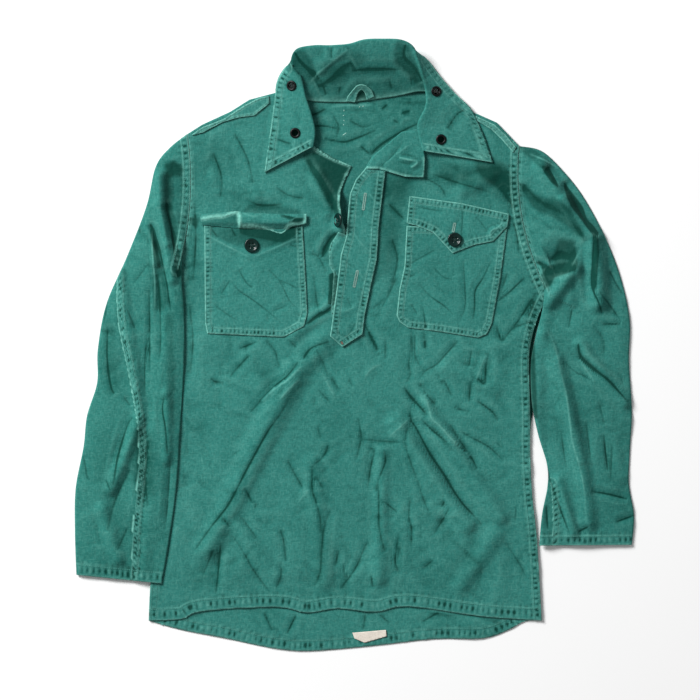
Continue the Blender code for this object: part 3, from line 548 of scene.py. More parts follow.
FLAP_CREASES = """
4 0.9 0: -157 186, -140 180, -130 184
4 -0.9 0: -104 184, -92 180, -74 174
3.5 0.9 0: -90 172, -84 178, -70 180
5 -1.3 0: 148 197, 151 179, 148 142
7 -1.0 0: 84 195, 108 190, 126 188
4 -0.8 0: 132 158, 147 177
3 1.6 0: 190 148, 192 161, 211 167
5 -0.8 0: 170 180, 180 168, 186 158
"""
PLACKET_CREASES = """
3 0.7 0: -4 162, 10 142, 22 131
3 0.7 0: 20 213, 31 199
3 0.7 0: 5 105, 16 87
4 -1.2 0: 8 80, 12 72, 10 46
4 -1.0 0: 10 42, 8 23, -17 3
4 0.9 0: -25 52, -12 48, 2 56
3.5 -1.0 0: -27 28, -19 13
3.5 -1.0 0: -17 17, -10 13, 2 32
4 -0.8 0: -10 66, -4 52
3.5 -0.7 0: -16 124, -6 112, 4 108
5 -0.9 0: 2 210, 12 196, 10 178
3.5 -0.8 0: 24 240, 50 262, 68 286
3.5 0.7 0: 40 252, 62 270, 80 282
3 3.5 0: 62 263, 74 260, 86 258
3 3.5 0: 86 260, 87 254, 78 249
"""

CREASE_SPREAD = 1.9      # the V reaches this many of the row's widths to each side
CREASE_STRENGTH = 0.85
CREASE_REACH = 2.6       # beyond this many of its widths a crease changes nothing
LINE_REACH = 7.0         # a crease's own sharp line, painted into the colour, is known to the materials this near to it
LINE_STRENGTH = 0.43
WIDEST_LINE = 12.5       # a crease as wide as this is too soft to have a sharp line
SHORT_CREASE = 24.0      # one that is shorter than this is also shallower
# cell height seed of each layer of the fine crumple, whose facets meet in thin creases
CRUMPLE = [(36.0, 1.5, 5), (19.0, 0.75, 6), (10.0, 0.34, 7)]


def value_noise(x, y, cell, seed, smooth=True):
    """Seeded noise from -1 to 1 over about cell mm; without smooth it is made of flat facets."""
    table = np.random.default_rng(seed).uniform(-1.0, 1.0, (128, 128))
    u, v = x / cell + 512.0, y / cell + 512.0
    i, j = np.floor(u).astype(int), np.floor(v).astype(int)
    u, v = u - i, v - j
    near, far = table[i % 128, j % 128], table[(i + 1) % 128, (j + 1) % 128]
    side, up = table[(i + 1) % 128, j % 128], table[i % 128, (j + 1) % 128]
    if not smooth:
        return np.where(u > v, near + (side - near) * u + (far - side) * v,
                        near + (up - near) * v + (far - up) * u)
    u, v = u * u * (3 - 2 * u), v * v * (3 - 2 * v)
    return (near + (side - near) * u) * (1 - v) + (up + (far - up) * u) * v


def crumple(x, y, seed=0):
    """Fine crumple of washed cotton: warped facets, uneven from place to place."""
    warp_x = x + 13.0 * value_noise(x, y, 45.0, seed + 1) + 4.0 * value_noise(x, y, 14.0, seed + 2)
    warp_y = y + 13.0 * value_noise(x, y, 45.0, seed + 3) + 4.0 * value_noise(x, y, 14.0, seed + 4)
    total = np.zeros(x.shape)
    for number, (cell, height, own_seed) in enumerate(CRUMPLE):
        angle = 0.5 + 0.9 * number
        u = warp_x * math.cos(angle) + warp_y * math.sin(angle)
        v = -warp_x * math.sin(angle) + warp_y * math.cos(angle)
        total += height * value_noise(u, v * 0.7, cell, seed + own_seed, smooth=False)
    return total * (0.75 + 0.45 * value_noise(x, y, 80.0, seed + 9))


def from_pixel(column, row):
    """The place, to a whole mm, of a pixel of the photograph."""
    return round((column - MIDDLE_PIXEL[0]) * PIXEL), round((MIDDLE_PIXEL[1] - row) * PIXEL)


def crease_rows(text):
    for row in text.strip().splitlines():
        sizes, places = row.split(":")
        width, height, lean, *unit = sizes.split()
        points = [[float(number) for number in place.split()] for place in places.split(",")]
        if unit:
            points = [from_pixel(*point) for point in points]
        yield float(width), float(height), float(lean), smooth_line(points, 4 if len(points) > 2 else 6)


def crease_parts(x, y, text, reach_of):
    """For each crease: what is near it, the distance there, its side, its strength along and its row."""
    for number, (width, height, lean, line) in enumerate(crease_rows(text)):
        reach = reach_of(width)
        low, high = line.min(axis=0) - reach, line.max(axis=0) + reach
        near = np.flatnonzero((x > low[0]) & (x < high[0]) & (y > low[1]) & (y < high[1]))
        if len(near) == 0:
            continue
        away, side, along, _, _ = nearest_on(x[near], y[near], line)
        length = np.hypot(*np.diff(line, axis=0).T).sum()
        ends = np.sin(math.pi * np.clip(along / length, 0.0, 1.0)) ** 0.5
        uneven = 1.0 + 0.3 * value_noise(along, along * 0.0, 21.0, 40 + number)
        short = min(1.0, length / SHORT_CREASE) ** 0.7
        yield near, away, side, ends * uneven * short, (width, height, lean)


def crease_height(x, y, text):
    """Each crease is a shallow V with a slight dip beyond its foot, so nearly flat facets meet in it."""
    total = np.zeros(x.shape)
    parts = crease_parts(x, y, text, lambda width: CREASE_REACH * width)
    for near, away, side, strength, (width, height, lean) in parts:
        away = away / (CREASE_SPREAD * width * (1.0 - lean * side))
        profile = np.clip(1.0 - away, 0.0, 1.0) ** 1.3 - 0.12 * np.exp(-(((away - 1.1) / 0.3) ** 2))
        total[near] += CREASE_STRENGTH * height * profile * strength
    return total


def crease_lines(x, y, *texts):
    """(line, cut): the distance from the nearest crease, with its side as the sign, and how sharply its
    line is painted into the colour, as shade along a trough; cut is below 0 on a raised crease,
    whose line is painted paler, partly worn and partly a painted highlight."""
    line, cut = np.full(x.shape, LINE_REACH), np.zeros(x.shape)
    for text in texts:
        parts = crease_parts(x, y, text, lambda width: LINE_REACH)
        for near, away, side, strength, (width, height, _) in parts:
            closer = (away < np.abs(line[near])) & (away < LINE_REACH)
            chosen = near[closer]
            line[chosen] = np.where(side[closer] < 0, -away[closer], away[closer])
            fade = 1.0 - smoothstep(0.45 * LINE_REACH, 0.95 * LINE_REACH, away[closer])
            narrow = np.clip((WIDEST_LINE - width) / 4.0, 0.0, 1.0)
            sharp = -np.sign(height) * LINE_STRENGTH * abs(height) ** 0.7 * narrow
            cut[chosen] = sharp * strength[closer] * fade
    return line, cut


# ---------------------------------------------------------------- seams, in mm
# The band of doubled cloth lies to the left of the line's direction. rows are the stitch rows'
# distances from the line, lift is how far the band stands up, and pits is how deep the puckers
# between the stitches are, about pitch apart and slanted along the seam, and how much shade is
# painted in them. wear is how pale it is worn.
Seam = namedtuple("Seam", "line band rows lift pits pitch wear slant", defaults=(0.0,))
SEAM_REACH = 9.0         # beyond this from its band a seam changes nothing
PUCKER_DRIFT = 2.2       # how far the puckers wander from an even spacing
STITCH_GROOVE = 0.25     # how deep a row of stitches lies


def seam_relief(x, y, seams):
    """(height, wear, shade) that the seams give each point; shade is painted in the puckers' pits and
    stitch grooves.
    """
    height, wear, painted_shade = (np.zeros(x.shape) for _ in range(3))
    for number, seam in enumerate(seams):
        line, reach = np.asarray(seam.line, float), seam.band + SEAM_REACH
        low, high = line.min(axis=0) - reach, line.max(axis=0) + reach
        near = (x > low[0]) & (x < high[0]) & (y > low[1]) & (y < high[1])
        if not near.any():
            continue
        away, side, along, _, _ = nearest_on(x[near], y[near], line)
        on_band = (side > 0) | (away < 1e-3)
        drift = along + PUCKER_DRIFT * value_noise(along, 0.0 * along, 23.0, 60 + number)
        slide = drift + seam.slant * (away - 0.5 * seam.band)
        wave = 0.62 * np.cos(slide * math.tau / seam.pitch)
        blot = value_noise(along, 0.7 * away, 6.5, 70 + number)
        pit = np.clip(wave + 0.8 * blot - 0.08, 0.0, 1.0) * 1.25
        ridge = np.clip(-wave - 0.6 * blot, 0.0, 1.0)
        spread = np.exp(-(((away - 0.52 * seam.band) / (0.27 * seam.band)) ** 2))
        beyond = 0.4 * np.exp(-(((away - seam.band - 2.0) / 3.0) ** 2))
        band = seam.lift * (1.0 - smoothstep(seam.band - 0.7, seam.band + 0.9, away))
        grooves = sum(np.exp(-(((away - row) / 0.9) ** 2)) for row in seam.rows)
        form = band + seam.pits * ((spread + beyond) * (0.45 * ridge - pit)) - STITCH_GROOVE * grooves
        height[near] += np.where(on_band, form, 0.0)
        rim = 1.25 * np.exp(-((away / 1.4) ** 2)) + 0.5 * np.exp(-(((away - seam.band) / 1.1) ** 2))
        ripple = 0.6 * spread * ridge
        wear[near] = np.maximum(wear[near], np.where(on_band, seam.wear * (rim + ripple), 0.0))
        # painted shade in the puckers' pits and along the stitch grooves
        sunk = (spread + 0.5 * beyond) * pit * min(1.0, 2.2 * seam.pits) + 0.35 * grooves
        painted_shade[near] += np.where(on_band, sunk, 0.0)
    return height, wear, painted_shade


# Patches of painted shade, in mm: x y half_width half_height angle depth
EYELET_HOLE_SHADE = (4.3, 4.3, 0, 4.0)    # a row from half_width on, for painted shade in the hole of each eyelet
BODY_PATCHES = [
    (-38, 238, 36, 26, -20, 0.55), (-30, 204, 12, 22, 10, 0.4), (148, 232, 66, 22, -12, 0.5),
    (216, 206, 14, 44, 25, 0.4), (58, 224, 30, 26, 0, 0.4), (-196, 262, 44, 26, 20, 0.3),
    (-228, 150, 12, 80, 0, 0.35), (-206, -300, 22, 62, -25, 0.45), (52, 140, 12, 70, -4, 0.25),
    (-146, 152, 62, 12, 0, 0.4), (20, -160, 14, 50, 0, 0.25), (250, 46, 14, 36, 0, 0.5),
    (-44, -300, 16, 50, 0, 0.3), (150, -300, 30, 30, 30, 0.25), (-128, 206, 80, 10, 0, 0.3),
]

# Cloth that lies in its neighbour's shade: depth softness outline
BODY_SHADES = [
    (0.9, 3.0, [(-70, 266), (-46, 223), (-29, 190), (-21, 178), (-19, 196), (-18, 215), (-9, 238),
                (-4, 250), (-31, 263), (-52, 270)]),
    (0.8, 6.0, [(172, 262), (190, 258), (204, 253), (212, 246), (217, 232), (214, 219), (204, 224),
                (190, 232), (176, 246)]),
    (1.2, 1.2, [(-102, 181), (-71, 177), (-73, 171), (-91, 172), (-88, 176)]),
    (1.1, 3.0, [(-158, 165), (-140, 164), (-122, 160), (-104, 153), (-97, 158), (-91, 166), (-78, 165),
                (-80, 158), (-100, 148), (-120, 151), (-140, 155), (-157, 160)]),
    (0.55, 2.0, [(-213, 175), (-196, 177), (-172, 182), (-164, 184), (-161, 172), (-212, 171)]),
    (0.7, 3.5, [(-152, 190), (-120, 189), (-98, 187), (-78, 187), (-100, 192), (-126, 195),
                (-145, 195)]),
    (0.9, 2.0, [(-232, 176), (-222, 180), (-218, 177), (-222, 166)]),
    (2.0, 1.0, [(-33, 97), (-25.5, 98), (-26, 80), (-28, 62), (-34, 60), (-32, 80)]),
    (1.0, 2.5, [(245, 20), (247, 20), (247, -60), (248, -100), (245, -60)]),
    (0.4, 9.0, [(44, 226), (42, 190), (34, 130), (30, 96), (44, 110), (58, 160), (66, 200), (72, 232)]),
    (2.6, 1.6, [(-33, 99), (-28, 99), (-27, 80), (-30, 60), (-34.5, 61), (-33, 78)]),
    (0.5, 3.0, [(-38, 118), (-46, 128), (-44, 138), (-36, 134)]),
    (0.35, 6.0, [(126, 250), (200, 246), (206, 236), (150, 232), (120, 238)]),
    (0.5, 4.0, [(-204, 168), (-80, 150), (-100, 143), (-148, 138), (-196, 156)]),
]


def patch_depth(x, y, patches, shades):
    """How much shade is painted here by the patches, the shades and the eyelets' holes."""
    total = np.zeros(x.shape)
    holes = ((hole_x, hole_y, *EYELET_HOLE_SHADE) for hole_x, hole_y in EYELETS.values())
    for depth, soft, outline in shades:
        away = np.maximum(distance_outside(x, y, np.asarray(outline, float)), 0.0)
        total += depth * np.exp(-((away / soft) ** 2))
    for patch_x, patch_y, half_width, half_height, angle, depth in (*patches, *holes):
        turn = math.radians(angle)
        u = (x - patch_x) * math.cos(turn) + (y - patch_y) * math.sin(turn)
        v = -(x - patch_x) * math.sin(turn) + (y - patch_y) * math.cos(turn)
        total += depth * np.exp(-((u / half_width) ** 2) - (v / half_height) ** 2)
    return total


def ring(outline):
    """The outline as a closed seam line that runs with its inside on the left."""
    points = np.asarray(outline, float)
    turn = np.roll(points, -1, axis=0)
    if (points[:, 0] * turn[:, 1] - turn[:, 0] * points[:, 1]).sum() < 0:
        points = points[::-1]
    return np.vstack([points, points[:1]])


FRONT_HEM_LINE = smooth_line([HEM_END_LEFT, *FRONT_HEM, HEM_END_RIGHT], 4)
BACK_HEM_LINE = smooth_line([HEM_END_LEFT, *BACK_HEM, HEM_END_RIGHT], 4)
CUFF_LINE_LEFT = np.array([(-389, -321), (-269, -333)], float)
CUFF_LINE_RIGHT = np.array([(258, -280), (388, -279)], float)
ELBOW_SEAM_LEFT = smooth_line([(-332, 94), (-332.5, 64), (-330, 29), (-324, -2), (-317, -34), (-311.5, -62),
                               (-307, -87.5), (-303, -111), (-302, -139), (-302, -167), (-306, -216),
                               (-310, -258), (-311.5, -300), (-313, -324)], 4)
ELBOW_SEAM_RIGHT = smooth_line([(274, -193), (277, -225), (277, -262), (276, -279)], 4)
NECK_EDGE = smooth_line([*FRONT_NECK_LEFT, *OPENING_LEFT[:1]], 4)
LEFT_SIDE_SEAM = Seam(SIDE_LINE_LEFT[::-1], 11.0, (3.0, 9.5), 0.4, 0.3, 8.0, 0.5)
FRONT_SEAMS = [
    Seam(FRONT_HEM_LINE, 17.0, (15.5,), 0.5, 0.5, 8.2, 0.85),
    Seam(SIDE_LINE_RIGHT, 11.0, (3.0, 9.5), 0.5, 0.7, 7.6, 0.9),
    LEFT_SIDE_SEAM,
    Seam(ARMHOLE_RIGHT[::-1], 10.5, (1.8, 9.0), 0.7, 0.9, 8.2, 1.4),
    Seam(ARMHOLE_LEFT, 4.0, (), 0.0, 0.3, 8.0, 0.5),
    Seam(NECK_EDGE[::-1], 3.5, (), 0.5, 0.3, 5.0, 1.8),
    Seam(smooth_line(OPENING_LEFT, 4)[::-1], 3.0, (), 0.4, 0.3, 6.0, 1.6),
]
BACK_SEAMS = [
    Seam(BACK_HEM_LINE, 15.0, (14.0,), 0.0, 0.5, 8.0, 0.75),
]
LEFT_SLEEVE_SEAMS = [
    Seam(ARMHOLE_LEFT[::-1], 10.5, (1.8, 9.0), 0.7, 0.9, 8.2, 1.3),
    Seam(ELBOW_SEAM_LEFT, 9.5, (1.2, 8.3), 0.9, 1.3, 7.4, 1.1, 0.7),
    Seam(CUFF_LINE_LEFT, 16.0, (14.5,), 0.5, 0.6, 8.0, 0.85),
]
RIGHT_SLEEVE_SEAMS = [
    Seam(ARMHOLE_RIGHT, 4.0, (), 0.0, 0.4, 8.0, 0.5),
    Seam(ELBOW_SEAM_RIGHT, 8.0, (1.2, 7.0), 0.5, 1.0, 7.4, 0.9, 0.5),
    Seam(CUFF_LINE_RIGHT, 14.0, (12.5,), 0.5, 0.6, 8.0, 0.95),
]
SLEEVE_SHADES = [
    (0.4, 3.0, [(-263, 254), (-253, 256), (-241, 248), (-238, 223), (-241, 199), (-243, 178),
                (-247, 150), (-249, 138), (-253, 154), (-258, 172), (-262, 186), (-263, 201),
                (-263, 229)]),
    (0.8, 4.0, [(-262, 251), (-252, 255), (-243, 249), (-244, 240), (-258, 240)]),
    (0.55, 3.0, [(-263, 240), (-258, 238), (-257, 205), (-255, 188), (-250, 170), (-249, 152),
                (-252, 154), (-258, 172), (-262, 186), (-263, 205)]),
    (2.6, 1.0, [(-255, 163), (-251, 152), (-245, 125), (-243.5, 99), (-246.5, 97), (-249.5, 111),
                (-252.5, 138), (-254.5, 150)]),
    (0.6, 2.5, [(-284, 160), (-276, 131), (-268, 101), (-261, 62), (-268, 50), (-279, 52), (-281, 110),
                (-282, 140)]),
    (1.0, 1.5, [(-284, 161), (-277, 133), (-271, 110), (-277, 118), (-281, 140)]),
    (0.9, 4.0, [(234, 224), (244, 216), (253, 208), (267, 203), (279, 203), (289, 197), (300, 188),
                (308, 173), (316, 158), (320, 150), (313, 156), (303, 166), (289, 176), (276, 184),
                (263, 188), (252, 195), (245, 205)]),
    (2.4, 2.0, [(295, 222), (298, 209), (304, 196), (314, 183), (327, 165), (334, 156), (339, 156),
                (333, 165), (324, 174), (320, 184), (318, 192), (310, 203), (302, 213)]),
    (1.7, 1.8, [(264, 248), (270, 247), (276, 236), (283, 223), (276, 229), (268, 240)]),
    (0.7, 3.0, [(232, 282), (244, 276), (261, 265), (275, 252), (269, 246), (258, 253), (247, 264),
                (233, 275)]),
    (1.1, 5.0, [(288, 145), (304, 143), (308, 115), (290, 110), (281, 117), (284, 133)]),
    (2.2, 2.2, [(264, 109), (290, 110), (308, 115), (308, 109), (298, 104), (283, 99), (266, 102)]),
    (1.2, 2.5, [(265, 102), (279, 98), (272, 84), (262, 78), (260, 90)]),
    (1.3, 2.0, [(334, 152), (339, 150), (340, 128), (338, 108), (336, 80), (333, 80), (333.5, 128)]),
    (1.2, 2.5, [(246, 20), (249, 20), (252, -60), (254, -100), (250, -100), (247, -60)]),
    (0.5, 4.0, [(-262, 40), (-256, 40), (-254, -60), (-258, -60)]),
    (0.6, 8.0, [(-300, -120), (-288, -130), (-286, -200), (-296, -220), (-304, -170)]),
    (0.5, 6.0, [(-346, 30), (-338, 20), (-332, -60), (-340, -66)]),
]
# Patches of painted shade on the sleeves: x y half_width half_height angle depth
SLEEVE_PATCHES = [
    (-335, -225, 16, 60, 15, 0.35), (-350, -130, 20, 60, -5, 0.2), (360, -160, 20, 60, 0, 0.25),
    (300, -60, 40, 60, 0, 0.15), (270, -240, 10, 40, 0, 0.5), (-280, 130, 8, 60, 0, 0.3),
]
# what lies on the body, where its own creases die away
COVERS = [
    np.array([row[:2] for row in LEFT_SLEEVE] + [row[2:4] for row in LEFT_SLEEVE][::-1], float),
    np.array([row[:2] for row in RIGHT_SLEEVE] + [row[2:4] for row in RIGHT_SLEEVE][::-1], float),
    np.array([row[:2] for row in COLLAR] + [row[6:8] for row in COLLAR][::-1], float),
    np.array(STRAP_LEFT, float),
    np.array(STRAP_RIGHT, float),
]


def body_keep(x, y):
    keep = np.ones(x.shape)
    for outline in COVERS:
        keep *= smoothstep(0.0, COVER_FADE, distance_outside(x, y, outline))
    for line in (ARMHOLE_LEFT, ARMHOLE_RIGHT):
        keep *= smoothstep(0.0, SEAM_FADE, nearest_on(x, y, line)[0])
    return keep


def body_relief(x, y, keep):
    """The creases that the front and all that lies on it share."""
    return (crease_height(x, y, BODY_CREASES) + crumple(x, y)) * keep


def look_of(x, y, relief, wear, painted_shade, creases=(), keep=1.0):
    """What the materials read at each point, with the shade that is painted there."""
    line, cut = crease_lines(x, y, *creases)
    return {"relief": relief, "wear": wear, "painted_shade": painted_shade, "line": line, "cut": cut * keep}


def crest_of(mesh, height, rounds):
    """How far each point stands over its neighbourhood, in mm."""
    ends = np.empty(len(mesh.edges) * 2, int)
    mesh.edges.foreach_get("vertices", ends)
    first, second = ends.reshape(-1, 2).T
    count = len(height)
    joined = np.maximum(np.bincount(first, minlength=count) + np.bincount(second, minlength=count), 1)
    smooth = height.copy()
    for _ in range(rounds):
        total = np.bincount(first, smooth[second], count) + np.bincount(second, smooth[first], count)
        smooth = 0.5 * smooth + 0.5 * total / joined
    return height - smooth


def keep_look(mesh, look):
    """Stores the look's numbers at each point of the mesh for the materials to read."""
    values = {name: numbers for name, numbers in look.items() if name != "relief"}
    values["crest"] = crest_of(mesh, look["relief"], CREST_ROUNDS)
    for name, numbers in values.items():
        mesh.attributes.new(name, "FLOAT", "POINT").data.foreach_set("value", numbers.astype(np.float32))


# ---------------------------------------------------------------- making meshes
def linked(name, data):
    """A new object in the scene."""
    made = bpy.data.objects.new(name, data)
    bpy.context.scene.collection.objects.link(made)
    return made


def mesh_from(work, name):
    """The finished bmesh as a mesh."""
    mesh = bpy.data.meshes.new(name)
    work.to_mesh(mesh)
    work.free()
    return mesh


def grid_mesh(name, columns, rows, place):
    """A sheet of columns by rows cells whose points place(u, v) gives, u and v from 0 to 1."""
    work = bmesh.new()
    bmesh.ops.create_grid(work, x_segments=columns, y_segments=rows, size=0.5)
    mesh = mesh_from(work, name)
    points = read_points(mesh)
    write_points(mesh, place(points[:, 0] + 0.5, points[:, 1] + 0.5))
    return mesh


def read_points(mesh):
    flat = np.empty(len(mesh.vertices) * 3)
    mesh.vertices.foreach_get("co", flat)
    return flat.reshape(-1, 3)


def write_points(mesh, points):
    mesh.vertices.foreach_set("co", np.ascontiguousarray(points * MM).ravel())
    mesh.update()


def shown(name, mesh, finish, node, look=None):
    """Links the mesh as a piece that stands for a CAD node."""
    piece = linked(name, mesh)
    for face in mesh.polygons:
        face.use_smooth = True
    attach(piece, "root")
    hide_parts(node)
    mesh.materials.append(material(look or finish))
    return piece


def add_wall(piece, thickness, offset=-1.0):
    """Gives the sheet a wall: below it, or above it with an offset of 1."""
    wall = piece.modifiers.new("wall", "SOLIDIFY")
    wall.thickness = thickness * MM
    wall.offset = offset


SNAP = 0.35              # of a cell: points this near to the outline move on to it
MERGE = 0.12             # of a cell: points this near to each other become one
FINE_MARGIN = 2.5        # mm beside a seam's band where the mesh is fine too
THIN = 0.4               # of its box's area: a piece with less is taken as a straight band
LEAST_BAND = 10.0        # mm


def trimmed_mesh(name, outline, cell, height, finer):
    """A grid trimmed to the outline, with half the cell where finer(x, y) holds.

    height(x, y) gives the points' (z, look).
    """
    outline = np.asarray(outline, float)
    low, high = outline.min(axis=0) - cell, outline.max(axis=0) + cell
    columns, rows = (int(n) for n in np.ceil((high - low) / cell))
    work = bmesh.new()
    size = Matrix.Diagonal((columns * cell, rows * cell, 1.0, 1.0))
    shift = Matrix.Translation((low[0], low[1], 0.0))
    unit = shift @ size @ Matrix.Translation((0.5, 0.5, 0.0))
    bmesh.ops.create_grid(work, x_segments=columns, y_segments=rows, size=0.5, matrix=unit)
    if finer:
        middles = np.array([face.calc_center_median()[:2] for face in work.faces])
        chosen = finer(middles[:, 0], middles[:, 1])
        edges = dict.fromkeys(edge for face, is_finer in zip(work.faces, chosen) if is_finer
                              for edge in face.edges)      # each one once, always in the same order
        bmesh.ops.subdivide_edges(work, edges=list(edges), cuts=1, use_grid_fill=True)
        work.verts.index_update()
    x = np.array([vert.co.x for vert in work.verts])
    y = np.array([vert.co.y for vert in work.verts])
    inside = inside_of(x, y, outline)
    closed = np.vstack([outline, outline[:1]])
    away, _, _, near_x, near_y = nearest_on(x, y, closed)
    snapped = ~inside | (away < SNAP * cell)
    x, y = np.where(snapped, near_x, x), np.where(snapped, near_y, y)
    work.verts.ensure_lookup_table()
    outer = [f for f in work.faces if not any(inside[v.index] for v in f.verts)]
    for index, vert in enumerate(work.verts):
        vert.co.x, vert.co.y = x[index], y[index]
    bmesh.ops.delete(work, geom=outer, context="FACES")
    bmesh.ops.remove_doubles(work, verts=work.verts[:], dist=MERGE * cell)
    bmesh.ops.dissolve_degenerate(work, edges=work.edges[:], dist=1e-3)
    mesh = mesh_from(work, name)
    points = read_points(mesh)
    points[:, 2], look = height(points[:, 0], points[:, 1])
    write_points(mesh, points)
    keep_look(mesh, look)
    return mesh


def near_seams(seams):
    """Where a mesh is finer: along the seams' bands."""
    def finer(x, y):
        chosen = np.zeros(x.shape, bool)
        for seam in seams:
            chosen |= nearest_on(x, y, np.asarray(seam.line, float))[0] < seam.band + FINE_MARGIN
        return chosen
    return finer


def area_of(outline):
    """The area that the closed outline holds."""
    x, y = np.array(outline, float).T
    return 0.5 * abs(float(x @ np.roll(y, -1) - y @ np.roll(x, -1)))


def laid_sheet(outline):
    """Works out the size of a flat piece from its cut: its box, or a straight band where it is long and
    thin; the sizes are not used.
    """
    points, area = np.array(outline, float), area_of(outline)
    width, length = points.max(axis=0) - points.min(axis=0)
    if area < THIN * width * length:
        length = max(math.dist(first, second) for first in points for second in points)
        width = max(LEAST_BAND, area / length)
    area = min(area, width * length)


def cloth_piece(node, outline, height, cell, finish="green_cotton", wall=SHELL, finer=None):
    """A flat piece cut to the outline, on the form that height gives."""
    mesh = trimmed_mesh(node + "_cloth", outline, cell, height, finer)
    piece = shown(node + "_cloth", mesh, finish, node)
    add_wall(piece, wall)
    laid_sheet(outline)
    return piece


# ---------------------------------------------------------------- body and what is sewn on it
NECK_SHADE = 0.3         # painted shade on the back inside the neck
GAP_SHADE = 3.0          # and in the gap beside the right side
NECK_Y = 200.0           # the neck is above this
LEAST_SEAM = -0.5        # seams sink no deeper than this
LEAST_BACK_SEAM = -0.25
BACK_RELIEF = (-0.3, 1.2)    # the back's creases stay within this


def front_sheet(x, y):
    keep = body_keep(x, y)
    relief = body_relief(x, y, keep)
    seams, wear, painted_shade = seam_relief(x, y, FRONT_SEAMS)
    z = np.maximum(LAYER + CLOTH + body_height(x, y) + relief, LEAST_TOP) + np.maximum(seams, LEAST_SEAM)
    painted_shade = painted_shade + patch_depth(x, y, BODY_PATCHES, BODY_SHADES)
    return z, look_of(x, y, relief + seams, wear, painted_shade, (BODY_CREASES,), keep)


def back_sheet(x, y):
    """The back lies flat; it is creased only where the neck opening and the tail show it."""
    shows = smoothstep(262.0, 275.0, y) * smoothstep(352.0, 338.0, y)
    tail = smoothstep(0.0, 6.0, nearest_on(x, y, FRONT_HEM_LINE)[0]) * smoothstep(-362.0, -370.0, y)
    keep = np.maximum(shows, tail)
    relief = (0.9 * crumple(x, y, 20) + crease_height(x, y, BACK_CREASES)) * keep
    seams, wear, painted_shade = seam_relief(x, y, BACK_SEAMS)
    z = CLOTH + np.clip(relief, *BACK_RELIEF) + np.maximum(seams, LEAST_BACK_SEAM)
    # painted shade inside the neck and in the gap beside the right side
    painted_shade = painted_shade + NECK_SHADE * (y > NECK_Y) + GAP_SHADE * in_side_gap(x, y)
    return z, look_of(x, y, 1.6 * relief + seams, wear, painted_shade, (BACK_CREASES,))


def layer_sheet(number, seams, creases, extra):
    """A piece this many layers above the front: it follows the front and has its own creases."""
    def height(x, y):
        keep = body_keep(x, y)
        relief = body_relief(x, y, keep)
        own, wear, painted_shade = seam_relief(x, y, seams)
        creased = crease_height(x, y, creases)
        more = 0.0 if extra is None else extra(x, y)
        base = np.maximum(LAYER + CLOTH + body_height(x, y) + relief, LEAST_TOP)
        z = base + LAYER * number + np.maximum(own + creased, LEAST_SEAM) + more
        painted_shade = painted_shade + patch_depth(x, y, BODY_PATCHES, BODY_SHADES)
        return z, look_of(x, y, relief + own + creased, wear, painted_shade, (BODY_CREASES, creases))
    return height


FLAP_HEM_LEFT = [(-214, 177), (-196, 180), (-183, 181), (-172, 185), (-166, 187)]
FLAP_HEM_STEP = [(-166, 187), (-162.5, 184), (-161, 176), (-160, 167)]
FLAP_HEM_RIGHT = [(-160, 167), (-140, 167), (-122, 163), (-104, 157.5), (-96, 162), (-91, 168), (-74, 169),
                  (-68.5, 174), (-68, 183)]
FLAP_HEM = ((FLAP_HEM_LEFT, 0.9, 1.7), (FLAP_HEM_STEP, 0.7, 1.5), (FLAP_HEM_RIGHT, 0.6, 1.5))
FLAP_CORNER_X = -161.0   # left of this the flap's inner side shows below its hem
FLAP_SINK = 2.0          # the roll's lower edge settles on the pocket


def turned_up_flap(x, y):
    """The flap is folded up and rolled: low on its left, where the inner side shows, and a roll
    on its right, with the hem's doubled edge standing along both and dropping between them."""
    roll = FLAP_ROLL_HEIGHT * np.maximum(0.0, 1.0 - ((y - FLAP_ROLL_Y) / FLAP_ROLL_HALF_WIDTH) ** 2)
    low = smoothstep(FLAP_CORNER_X + 1.2, FLAP_CORNER_X - 1.2, x)
    ends = smoothstep(-217.0, -196.0, x) * smoothstep(-66.0, -88.0, x)
    total = roll * (1.0 - 0.68 * low) * (0.25 + 0.75 * ends) - FLAP_SINK * smoothstep(172.0, 166.0, y)
    for line, height, width in FLAP_HEM:
        away = nearest_on(x, y, smooth_line(line, 4))[0]
        total += height * np.exp(-((away / width) ** 2))
    return total


def on_flap_hem():
    """The worn edges along both sides of the flap's hem."""
    return [Seam(smooth_line(line, 4)[::turn], 2.6, (), 0.0, 0.2, 6.0, 1.5)
            for line, _, _ in FLAP_HEM for turn in (1, -1)]


def in_side_gap(x, y):
    """1 in the narrow gap between the right side and its sleeve, where the back's widened edge carries
    painted shade.
    """
    return smoothstep(-120.0, -85.0, y) * smoothstep(62.0, 40.0, y) * (x > 236.0)


def back_shows(x, y):
    """Where the back is seen: at the tail and in the neck."""
    return (y < -358.0) | ((y > 250.0) & (np.abs(x - 15.0) < 95.0))


def make_body():
    neck = np.array([*FRONT_NECK_LEFT, *OPENING_LEFT, *OPENING_RIGHT, *FRONT_NECK_RIGHT])
    behind = body_outline(BACK_HEM, np.array(BACK_NECK))
    # the back is widened into the gap beside the right side, where it carries painted shade
    behind[:, 0] += BACK_SHOWS_BY * in_side_gap(*behind.T)
    back = cloth_piece("back", behind, back_sheet, 5.0, finer=back_shows)
    fine_seams = [seam for seam in FRONT_SEAMS if seam is not LEFT_SIDE_SEAM]
    front = cloth_piece("front", body_outline(FRONT_HEM, neck), front_sheet, 3.25,
                        finer=near_seams(fine_seams))
    return back, front


def edge_seam(outline, band, rows, wear=1.35, closed=True):
    """A patch's turned-in edge; closed is False where its last side lies under another piece."""
    line = ring(outline) if closed else np.array(outline, float)
    return [Seam(line, band, rows, 0.35, 0.55, 5.8, wear)]


FACING_SEAMS = [Seam(smooth_line(NECK_FACING[:5], 4), 2.6, (), 0.3, 0.3, 6.0, 1.4)]


